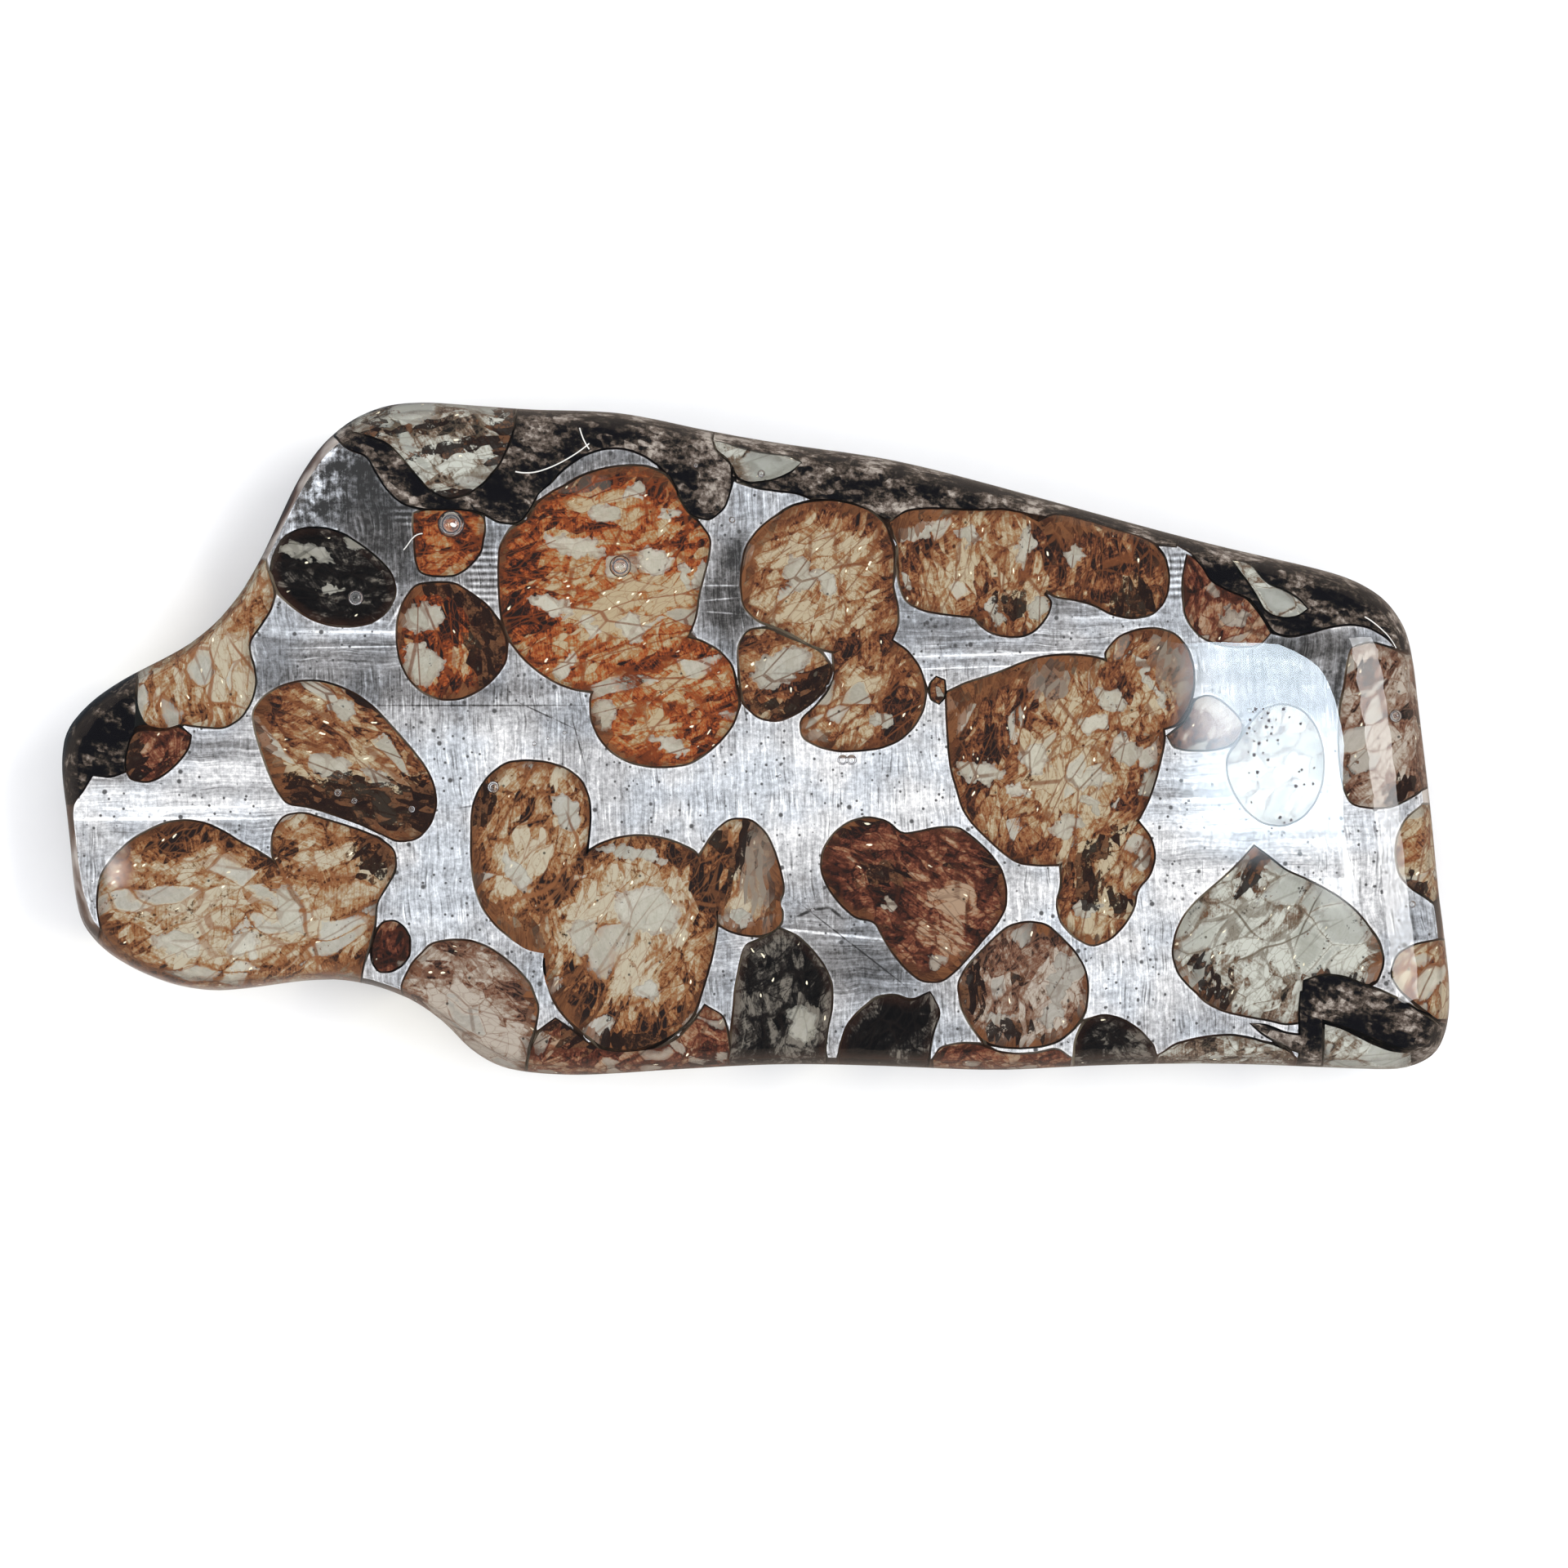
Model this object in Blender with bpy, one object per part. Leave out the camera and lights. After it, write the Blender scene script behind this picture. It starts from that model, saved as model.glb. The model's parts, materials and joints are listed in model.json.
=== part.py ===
"""A pallasite slice sealed in a clear resin coat, lying flat with its polished face up.

The slice is a plate of iron-nickel metal that holds olivine crystals, with a dark weathered rind along parts
of its natural edge. Each crystal is a column through the plate whose walls slope, so that it is smaller below.
The resin coat is one casting, parted at half height round a pocket for the slice.
+X is the long side, +Y the upper edge and +Z up. The origin is under the middle of the resting face.
"""

import bmesh
import bpy
import numpy as np

for old in list(bpy.data.objects):
    bpy.data.objects.remove(old, do_unlink=True)

# Driving dimensions. Every length below is in millimetres until a mesh is made.
METRES_PER_MM = 0.001
RESTING_RESIN = 0.7
SLICE_THICKNESS = 2.5
RESIN_HEIGHT = 4.8
SLICE_TO_EDGE = 0.45

# The clearances between pieces that touch, and the pocket's clearance round the slice.
CONTACT_GAP = 0.15
POCKET_SIDE_GAP = 0.15
POCKET_END_GAP = 0.25
PARTING_GAP = 0.2

SLICE_BOTTOM = RESTING_RESIN
SLICE_TOP = SLICE_BOTTOM + SLICE_THICKNESS
PARTING = SLICE_BOTTOM + SLICE_THICKNESS / 2
OVERSHOOT = 1.0

# The rolled edges of the resin, as (how far in from the outer edge, height).
BASE_ROLL = [(0.7, 0.0), (0.2, 0.25), (0.0, 0.75)]
TOP_ROLL = [(0.0, 2.4), (0.12, 3.1), (0.5, 3.9), (1.2, 4.4), (2.4, RESIN_HEIGHT)]

# How finely the outlines are faceted: the crystals, those with a short outline, and the resin.
FACET = 0.72
SMALL_FACET = 0.42
SMALL_PERIMETER = 9.0
RESIN_FACET = 1.45
FEWEST_FACETS = 8
CURVE_STEPS = 12

# What the Booleans leave closer, flatter or sharper than this is merged, joined or kept as an edge.
MERGE_METRES = 2e-6
FLAT_RADIANS = 0.002
SHARP_RADIANS = 0.6

# The middle of the resin's outline, which becomes the origin.
OUTLINE_MIDDLE = (-0.0013, -0.0072)

# The resin's outer edge, seen from above, clockwise from the left corner.
RESIN_EDGE = [
    (-25.6, -1.0), (-25.65, -0.3), (-25.38, 0.5), (-24.6, 1.3), (-23.0, 2.36), (-21.0, 3.3), (-20.0, 4.05),
    (-19.0, 5.2), (-18.0, 7.0), (-17.3, 8.6), (-16.6, 10.0), (-15.7, 11.15), (-14.35, 12.07), (-13.0, 12.4),
    (-11.0, 12.3), (-8.0, 12.08), (-5.0, 12.0), (-2.0, 11.37), (1.0, 10.84), (5.0, 10.26), (9.0, 9.25),
    (13.0, 8.15), (17.0, 7.09), (21.0, 6.16), (22.6, 5.63), (23.68, 4.66), (24.19, 3.47), (24.28, 2.23),
    (24.55, 0.0), (24.9, -3.0), (25.18, -6.0), (25.46, -8.0), (25.6, -9.6), (25.49, -10.85), (25.05, -11.87),
    (24.3, -12.2), (22.0, -12.16), (17.0, -11.98), (12.0, -12.07), (9.0, -12.23), (5.0, -12.08), (1.0, -12.0),
    (-3.0, -12.2), (-7.0, -12.42), (-9.0, -12.22), (-10.1, -11.96), (-11.0, -10.94), (-12.0, -9.88),
    (-13.47, -9.27), (-15.0, -8.83), (-17.0, -8.96), (-20.0, -9.34), (-22.0, -8.93), (-23.53, -8.12),
    (-24.46, -7.55), (-24.94, -6.7), (-25.14, -5.3), (-25.25, -3.5),
]

# Each crystal is one or more lobes: (outline, size of the lower end against the upper one, and how far the
# lower end leans over). An outline that runs past the slice's edge is cut off there.
CRYSTALS = {
    "olivine_black_left": [(
        [(-17.5, 6.0), (-17.3, 7.0), (-16.6, 7.5), (-15.9, 7.6), (-15.0, 7.35), (-14.2, 6.8), (-13.5, 6.15),
         (-13.2, 5.6), (-13.35, 5.0), (-13.75, 4.45), (-14.4, 4.2), (-15.2, 4.15), (-16.0, 4.3), (-16.8, 4.75),
         (-17.3, 5.2)], 0.82, (0.15, 0.2))],
    "olivine_red_round": [(
        [(-12.4, 5.6), (-11.6, 5.65), (-10.95, 5.6), (-10.4, 5.2), (-9.85, 4.8), (-9.45, 4.2), (-9.2, 3.6),
         (-9.15, 3.0), (-9.4, 2.5), (-9.9, 2.0), (-10.5, 1.6), (-11.1, 1.45), (-11.7, 1.5), (-12.3, 1.8),
         (-12.8, 2.4), (-13.05, 3.1), (-13.1, 3.8), (-13.05, 4.5), (-12.8, 5.1)], 0.74, (-0.42, 0.1))],
    "olivine_orange_block": [(
        [(-12.5, 8.2), (-12.45, 7.4), (-12.4, 6.5), (-12.25, 6.1), (-11.6, 6.0), (-10.95, 6.05), (-10.6, 6.3),
         (-10.1, 6.9), (-10.05, 7.4), (-9.95, 8.0), (-10.4, 8.25), (-11.5, 8.3)], 0.86, (0.0, 0.1))],
    "olivine_pair_orange": [
        ([(-9.3, 7.1), (-8.9, 7.7), (-8.3, 7.95), (-8.05, 8.5), (-7.4, 9.0), (-6.5, 9.4), (-5.5, 9.7),
          (-4.3, 9.8), (-3.5, 9.6), (-3.05, 9.1), (-2.7, 8.5), (-2.4, 8.0), (-1.75, 7.6), (-1.75, 6.8),
          (-1.95, 6.0), (-2.15, 5.2), (-2.25, 4.4), (-2.6, 3.6), (-3.2, 2.8), (-4.4, 2.0), (-5.9, 1.75),
          (-7.0, 1.95), (-7.8, 2.4), (-8.6, 3.1), (-9.1, 3.9), (-9.3, 4.8), (-9.35, 6.0)], 0.92, (0.12, 0.0)),
        ([(-2.6, 3.7), (-1.8, 3.4), (-1.1, 2.95), (-0.85, 2.5), (-0.75, 1.8), (-0.65, 1.1), (-1.0, 0.3),
          (-1.6, -0.3), (-2.3, -0.85), (-3.2, -1.0), (-4.2, -0.95), (-5.0, -0.65), (-5.6, -0.1), (-5.95, 0.6),
          (-6.0, 1.4), (-5.6, 2.4), (-4.4, 3.4)], 0.9, (0.0, 0.15))],
    "olivine_crescent": [(
        [(-0.6, 3.4), (-0.3, 3.9), (0.4, 4.0), (1.0, 3.7), (1.9, 3.35), (2.6, 2.95), (2.75, 2.6), (2.6, 2.0),
         (2.2, 1.5), (1.7, 1.1), (1.2, 0.8), (0.7, 0.65), (0.2, 0.75), (-0.2, 1.0), (-0.42, 1.4), (-0.5, 2.0),
         (-0.55, 2.7)], 0.7, (-0.35, 0.4))],
    "olivine_pair_upper_middle": [
        ([(-0.3, 7.0), (-0.45, 6.2), (-0.45, 5.2), (-0.25, 4.5), (0.3, 4.3), (1.2, 3.95), (2.4, 3.3),
          (3.6, 3.2), (4.9, 3.5), (5.1, 4.0), (5.3, 4.5), (5.0, 5.2), (5.0, 5.9), (5.05, 6.6), (4.9, 7.4),
          (4.4, 8.0), (3.3, 8.45), (2.2, 8.5), (1.2, 8.3), (0.4, 7.85)], 0.92, (-0.1, 0.1)),
        ([(2.9, 3.1), (3.8, 3.5), (4.8, 3.6), (5.6, 3.1), (6.05, 2.4), (6.2, 1.6), (6.05, 0.9), (5.5, 0.15),
          (4.8, -0.25), (3.8, -0.4), (2.8, -0.4), (2.0, -0.1), (1.5, 0.3), (1.8, 0.75), (2.4, 1.25),
          (2.85, 1.9), (3.0, 2.5)], 0.88, (0.1, 0.1))],
    "olivine_grain_small": [(
        [(6.45, 1.75), (6.55, 2.15), (6.85, 2.15), (6.9, 1.75), (6.8, 1.35), (6.55, 1.35)], 0.9, (0.0, 0.0))],
    "olivine_cluster_right": [
        ([(7.1, 1.7), (7.9, 2.0), (9.1, 2.4), (10.2, 2.85), (11.4, 3.0), (12.5, 2.9), (13.3, 2.6),
          (14.2, 1.8), (14.8, 0.9), (14.95, 0.0), (14.8, -0.8), (14.5, -1.9), (14.1, -2.8), (13.4, -3.6),
          (12.4, -4.2), (11.4, -4.55), (10.2, -4.6), (9.45, -4.45), (8.9, -3.95), (8.2, -3.3), (7.75, -2.8),
          (7.5, -2.0), (7.25, -1.2), (7.15, -0.4), (7.1, 0.6)], 0.93, (0.12, 0.12)),
        ([(12.9, 3.2), (13.4, 3.7), (14.2, 3.95), (14.95, 3.95), (15.6, 3.6), (15.95, 2.9), (16.05, 2.1),
          (15.9, 1.3), (15.5, 0.6), (14.9, 0.3), (13.9, 0.9), (13.1, 2.2)], 0.88, (-0.15, -0.1)),
        ([(11.25, -4.7), (11.3, -5.3), (11.15, -5.9), (11.05, -6.4), (11.4, -6.9), (11.85, -7.35),
          (12.4, -7.6), (12.9, -7.4), (13.5, -6.8), (13.85, -6.2), (13.9, -5.6), (14.3, -5.2), (14.6, -4.6),
          (14.55, -3.9), (14.2, -3.3), (13.6, -2.9), (12.2, -3.5)], 0.86, (-0.1, 0.2))],
    "olivine_brown_twin": [(
        [(2.45, -4.8), (2.5, -4.2), (2.9, -3.55), (3.6, -3.05), (4.2, -2.95), (4.9, -3.15), (5.45, -3.65),
         (6.0, -3.5), (6.8, -3.33), (7.5, -3.35), (8.1, -3.85), (8.7, -4.45), (9.05, -5.0), (9.15, -5.7),
         (9.1, -6.3), (8.75, -6.85), (8.2, -7.45), (7.8, -7.95), (7.2, -8.6), (6.8, -8.9), (6.3, -8.95),
         (5.8, -8.65), (5.2, -8.0), (4.75, -7.3), (4.5, -6.7), (3.8, -6.6), (3.3, -6.2), (2.8, -5.6)],
        0.92, (0.0, 0.1))],
    "olivine_glassy_round": [(
        [(8.35, -7.85), (8.9, -7.3), (9.3, -6.95), (9.9, -6.8), (10.5, -6.8), (10.9, -7.1), (11.4, -7.6),
         (11.85, -8.1), (12.1, -8.7), (12.15, -9.4), (12.0, -10.0), (11.5, -10.6), (10.8, -11.0),
         (9.6, -11.1), (8.6, -11.0), (8.1, -10.6), (7.7, -9.9), (7.45, -9.3), (7.6, -8.7)],
        0.9, (0.1, 0.1))],
    "olivine_black_bottom": [(
        [(3.1, -13.0), (3.15, -11.3), (3.25, -10.7), (3.6, -10.15), (4.1, -9.7), (4.7, -9.45), (5.3, -9.5),
         (5.8, -9.65), (6.2, -9.4), (6.6, -9.45), (6.75, -9.9), (6.5, -10.5), (6.3, -10.9), (6.4, -11.4),
         (6.25, -12.0), (6.2, -13.0)], 0.95, (0.0, -0.05))],
    "olivine_rim_bottom": [(
        [(6.35, -13.0), (6.6, -11.6), (6.75, -11.2), (7.3, -11.1), (8.0, -11.0), (8.6, -11.3), (9.4, -11.45),
         (10.4, -11.4), (11.3, -11.2), (11.55, -11.6), (11.6, -13.0)], 0.97, (0.0, 0.0))],
    "olivine_black_corner": [(
        [(11.8, -10.8), (12.2, -10.2), (13.0, -10.05), (13.6, -10.3), (14.2, -10.7), (14.6, -11.2),
         (14.5, -13.0), (11.8, -13.0), (11.75, -11.5)], 0.95, (0.0, 0.0))],
    "olivine_cluster_centre": [
        ([(-10.35, -3.3), (-10.3, -2.4), (-9.8, -1.5), (-9.1, -0.95), (-8.1, -0.9), (-7.1, -1.1),
          (-6.4, -1.6), (-6.12, -2.4), (-6.15, -3.4), (-6.3, -4.4), (-6.6, -5.6), (-7.2, -7.0), (-7.8, -7.9),
          (-8.6, -7.5), (-9.3, -7.0), (-9.9, -6.3), (-10.25, -5.4), (-10.35, -4.4)], 0.88, (0.25, 0.0)),
        ([(-6.25, -4.3), (-5.6, -3.9), (-4.7, -3.65), (-3.8, -3.65), (-3.0, -3.85), (-2.2, -4.25),
          (-1.7, -5.0), (-1.45, -6.2), (-1.5, -7.2), (-1.7, -8.2), (-2.0, -9.2), (-2.25, -9.9), (-2.8, -10.5),
          (-3.6, -10.95), (-4.7, -11.2), (-5.6, -11.1), (-6.3, -10.6), (-6.9, -10.1), (-7.4, -9.4),
          (-7.7, -8.6), (-7.6, -7.6), (-7.2, -6.4), (-6.7, -5.2)], 0.93, (0.0, 0.0)),
        ([(-2.2, -4.6), (-1.7, -3.9), (-1.2, -3.15), (-0.6, -2.98), (-0.05, -3.1), (0.4, -3.6), (0.75, -4.5),
          (0.95, -5.3), (1.0, -5.9), (0.6, -6.3), (-0.4, -6.3), (-1.5, -6.3), (-2.2, -6.0)], 0.85, (0.0, -0.2)),
        ([(-1.3, -6.8), (-1.3, -6.2), (-0.8, -5.9), (0.2, -5.8), (0.8, -6.1), (0.98, -6.6), (0.7, -7.0),
          (0.2, -7.2), (-0.5, -7.15), (-1.0, -7.0)], 0.9, (0.0, 0.1))],
    "olivine_dark_bottom": [(
        [(-0.35, -7.6), (0.4, -7.4), (1.0, -7.0), (1.5, -7.3), (2.1, -7.9), (2.6, -8.6), (2.8, -9.3),
         (2.7, -10.0), (2.5, -10.9), (2.45, -13.0), (-0.9, -13.0), (-0.85, -11.0), (-0.75, -9.9),
         (-0.65, -9.0), (-0.5, -8.3)], 0.96, (0.0, 0.0))],
    "olivine_rubble_bottom": [(
        [(-8.2, -13.0), (-8.2, -11.4), (-7.9, -10.7), (-7.45, -10.2), (-6.9, -10.5), (-6.3, -11.0),
         (-5.7, -11.3), (-4.7, -11.35), (-3.5, -11.2), (-2.7, -10.8), (-2.2, -10.25), (-1.85, -9.75),
         (-1.2, -10.1), (-1.05, -11.0), (-1.05, -13.0)], 1.0, (0.0, 0.0))],
    "olivine_rim_below_left": [(
        [(-12.75, -8.6), (-12.4, -8.0), (-11.9, -7.6), (-11.0, -7.45), (-10.2, -7.55), (-9.4, -8.0),
         (-8.7, -8.6), (-8.15, -9.3), (-7.95, -9.9), (-8.15, -10.6), (-8.45, -11.5), (-8.5, -13.0),
         (-11.5, -13.0), (-13.0, -10.6), (-12.95, -9.6)], 0.92, (0.1, -0.1))],
    "olivine_pair_lower_left": [
        ([(-23.75, -4.9), (-23.3, -4.3), (-22.7, -3.75), (-22.0, -3.3), (-21.2, -3.08), (-20.4, -3.12),
          (-19.6, -3.45), (-18.8, -3.95), (-18.1, -4.3), (-17.5, -4.8), (-16.95, -5.5), (-16.55, -6.3),
          (-16.3, -7.2), (-16.2, -8.2), (-16.3, -9.8), (-20.0, -10.4), (-23.0, -9.4), (-23.7, -8.0),
          (-23.8, -7.1), (-23.95, -6.2), (-23.9, -5.5)], 0.93, (0.0, -0.1)),
        ([(-17.7, -4.1), (-17.6, -3.3), (-17.2, -2.85), (-16.5, -2.8), (-15.8, -3.05), (-14.8, -3.35),
          (-13.9, -3.7), (-13.3, -4.1), (-13.2, -4.7), (-13.5, -5.3), (-13.95, -5.9), (-13.95, -6.5),
          (-14.2, -7.5), (-14.5, -8.4), (-14.7, -9.8), (-16.4, -9.8), (-16.6, -8.0), (-16.8, -6.8),
          (-17.3, -5.2)], 0.94, (0.0, 0.0))],
    "olivine_nub_lower_left": [(
        [(-13.85, -7.1), (-13.55, -6.75), (-13.1, -6.8), (-12.8, -7.2), (-12.65, -7.65), (-12.85, -8.05),
         (-13.3, -8.25), (-13.85, -8.2), (-14.0, -7.7)], 0.85, (0.0, 0.0))],
    "olivine_tan_long": [(
        [(-18.4, 1.0), (-18.0, 1.5), (-17.1, 1.95), (-16.1, 2.05), (-15.2, 1.8), (-14.3, 1.3), (-13.5, 0.5),
         (-12.75, -0.35), (-12.1, -1.2), (-11.75, -2.2), (-11.95, -3.1), (-12.5, -3.7), (-13.1, -3.75),
         (-14.2, -3.2), (-15.3, -2.8), (-16.4, -2.45), (-17.2, -2.35), (-17.6, -1.7), (-17.95, -0.8),
         (-18.25, 0.1)], 0.88, (-0.05, -0.1))],
    "olivine_tan_rim_left": [(
        [(-17.7, 5.9), (-17.5, 5.2), (-17.8, 4.4), (-18.3, 3.75), (-18.6, 3.2), (-18.4, 2.5), (-18.4, 1.7),
         (-18.75, 1.0), (-19.2, 0.5), (-20.0, 0.4), (-20.7, 0.6), (-21.4, 0.3), (-22.2, 0.35), (-22.55, 1.1),
         (-22.5, 1.9), (-22.7, 3.6), (-20.5, 5.0), (-19.3, 7.2), (-17.9, 6.6)], 0.97, (0.0, 0.0))],
    "olivine_brown_rim_left": [(
        [(-22.6, 0.1), (-21.7, 0.1), (-20.95, 0.3), (-20.75, 0.0), (-20.95, -0.5), (-21.5, -1.1),
         (-22.1, -1.5), (-22.65, -1.55), (-22.9, -1.3), (-22.9, -0.6)], 0.88, (0.0, 0.1))],
    "olivine_window_top_left": [(
        [(-14.8, 11.2), (-13.9, 10.95), (-13.2, 10.6), (-12.8, 10.1), (-12.3, 9.5), (-11.7, 9.0),
         (-11.1, 8.8), (-10.4, 9.1), (-9.8, 9.6), (-9.3, 10.1), (-9.1, 10.7), (-8.9, 11.3), (-8.95, 11.9),
         (-9.2, 13.2), (-13.0, 13.5), (-15.6, 12.4)], 0.95, (0.0, 0.1))],
    "olivine_window_top": [(
        [(-1.55, 10.7), (-1.35, 10.3), (-0.9, 10.0), (-0.7, 9.5), (-0.4, 9.3), (0.1, 9.3), (0.7, 9.4),
         (1.3, 9.65), (1.6, 9.85), (1.2, 10.05), (0.4, 10.15), (-0.6, 10.35), (-1.2, 10.6)], 0.9, (0.0, 0.0))],
    "olivine_band_top": [
        ([(4.95, 7.8), (5.4, 8.1), (6.5, 8.2), (8.0, 8.1), (9.4, 8.1), (10.1, 7.8), (10.6, 7.0), (10.7, 6.0),
          (10.6, 5.2), (9.5, 4.6), (8.0, 4.5), (7.0, 4.6), (6.1, 4.75), (5.5, 5.1), (5.3, 5.8), (5.3, 6.6),
          (5.25, 7.3)], 0.95, (0.0, 0.05)),
        ([(10.3, 7.7), (10.9, 7.95), (11.9, 7.8), (12.8, 7.5), (13.8, 7.2), (14.6, 6.85), (14.95, 6.4),
          (15.1, 5.6), (14.95, 4.95), (14.5, 4.55), (13.95, 4.45), (13.3, 4.5), (12.7, 4.8), (12.1, 5.1),
          (11.3, 5.15), (10.7, 5.4), (10.2, 6.0), (10.0, 6.9)], 0.93, (-0.05, 0.05)),
        ([(7.9, 4.9), (8.15, 4.35), (8.6, 3.95), (9.3, 3.78), (10.0, 3.85), (10.5, 4.3), (10.8, 5.0),
          (9.5, 5.6)], 0.85, (0.0, 0.15))],
    "olivine_brown_top_right": [(
        [(15.85, 6.5), (16.15, 6.5), (16.3, 5.9), (16.8, 5.4), (17.5, 5.1), (18.1, 4.85), (18.5, 4.2),
         (18.9, 3.6), (18.0, 3.4), (16.9, 3.5), (16.3, 3.8), (15.9, 4.3), (15.7, 5.0), (15.7, 5.8)],
        0.92, (0.0, 0.05))],
    "olivine_window_top_right": [(
        [(17.5, 6.3), (18.1, 6.1), (18.6, 5.5), (19.5, 5.1), (20.15, 4.6), (19.6, 4.35), (18.8, 4.5),
         (18.35, 5.2), (17.9, 5.8)], 0.92, (0.0, 0.0))],
    "olivine_faint_small": [(
        [(16.2, 1.4), (16.7, 1.5), (17.3, 1.1), (17.85, 0.4), (17.5, -0.15), (17.0, -0.35), (16.2, -0.4),
         (15.4, -0.3), (15.15, 0.0), (15.6, 0.35), (16.0, 0.85)], 0.9, (0.0, 0.0))],
    "olivine_faint_large": [(
        [(17.35, -0.7), (17.4, -1.5), (17.8, -2.3), (18.4, -2.95), (19.2, -3.2), (20.0, -2.9), (20.6, -2.1),
         (20.8, -1.0), (20.6, 0.2), (20.0, 1.0), (19.1, 1.2), (18.4, 0.8), (17.9, 0.0)], 0.9, (0.0, 0.0))],
    "olivine_rim_right_high": [(
        [(21.8, 3.2), (21.6, 2.0), (21.5, 1.0), (21.45, 0.0), (21.5, -1.0), (21.65, -1.9), (21.9, -2.4),
         (22.6, -2.55), (23.3, -2.45), (23.9, -2.1), (24.3, -1.8), (25.8, -1.6), (25.4, 2.9), (23.6, 2.9),
         (23.0, 3.25), (22.3, 3.4)], 0.95, (-0.05, 0.0))],
    "olivine_rim_right_middle": [(
        [(23.5, -5.0), (23.38, -4.4), (23.4, -3.8), (23.6, -3.2), (23.95, -2.75), (24.4, -2.5), (25.8, -2.3),
         (26.0, -6.4), (24.8, -6.0), (24.2, -5.7), (23.8, -5.4)], 0.9, (0.1, 0.1))],
    "olivine_rim_right_low": [(
        [(23.45, -7.95), (24.0, -7.65), (24.9, -7.5), (26.4, -7.4), (26.4, -10.9), (25.1, -10.35),
         (24.4, -9.9), (23.8, -9.35), (23.25, -9.0), (23.25, -8.5)], 0.93, (0.05, 0.0))],
    "olivine_corner_bottom_right": [(
        [(20.95, -10.35), (21.6, -10.6), (22.4, -11.0), (23.2, -11.35), (24.0, -11.5), (24.8, -11.35),
         (26.0, -11.1), (26.2, -13.0), (20.9, -13.0), (20.95, -11.4)], 0.97, (0.0, 0.0))],
    "olivine_rim_bottom_right": [(
        [(14.9, -11.4), (15.6, -11.0), (16.5, -10.85), (17.4, -10.75), (18.3, -10.9), (19.1, -11.15),
         (19.8, -11.5), (19.85, -13.0), (14.8, -13.0)], 0.97, (0.0, 0.0))],
    "olivine_heart": [(
        [(18.3, -4.0), (17.9, -4.5), (17.3, -5.1), (16.6, -5.7), (15.95, -6.3), (15.5, -7.1), (15.35, -7.9),
         (15.55, -8.6), (16.1, -9.2), (16.9, -9.7), (17.8, -9.95), (18.7, -10.1), (19.7, -10.3),
         (20.6, -10.0), (21.6, -9.4), (22.4, -9.1), (22.85, -8.6), (22.85, -7.9), (22.6, -7.2), (22.2, -6.6),
         (21.6, -6.05), (20.9, -5.6), (20.1, -5.2), (19.4, -4.9), (18.8, -4.4)], 0.9, (0.2, 0.15))],
}

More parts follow.
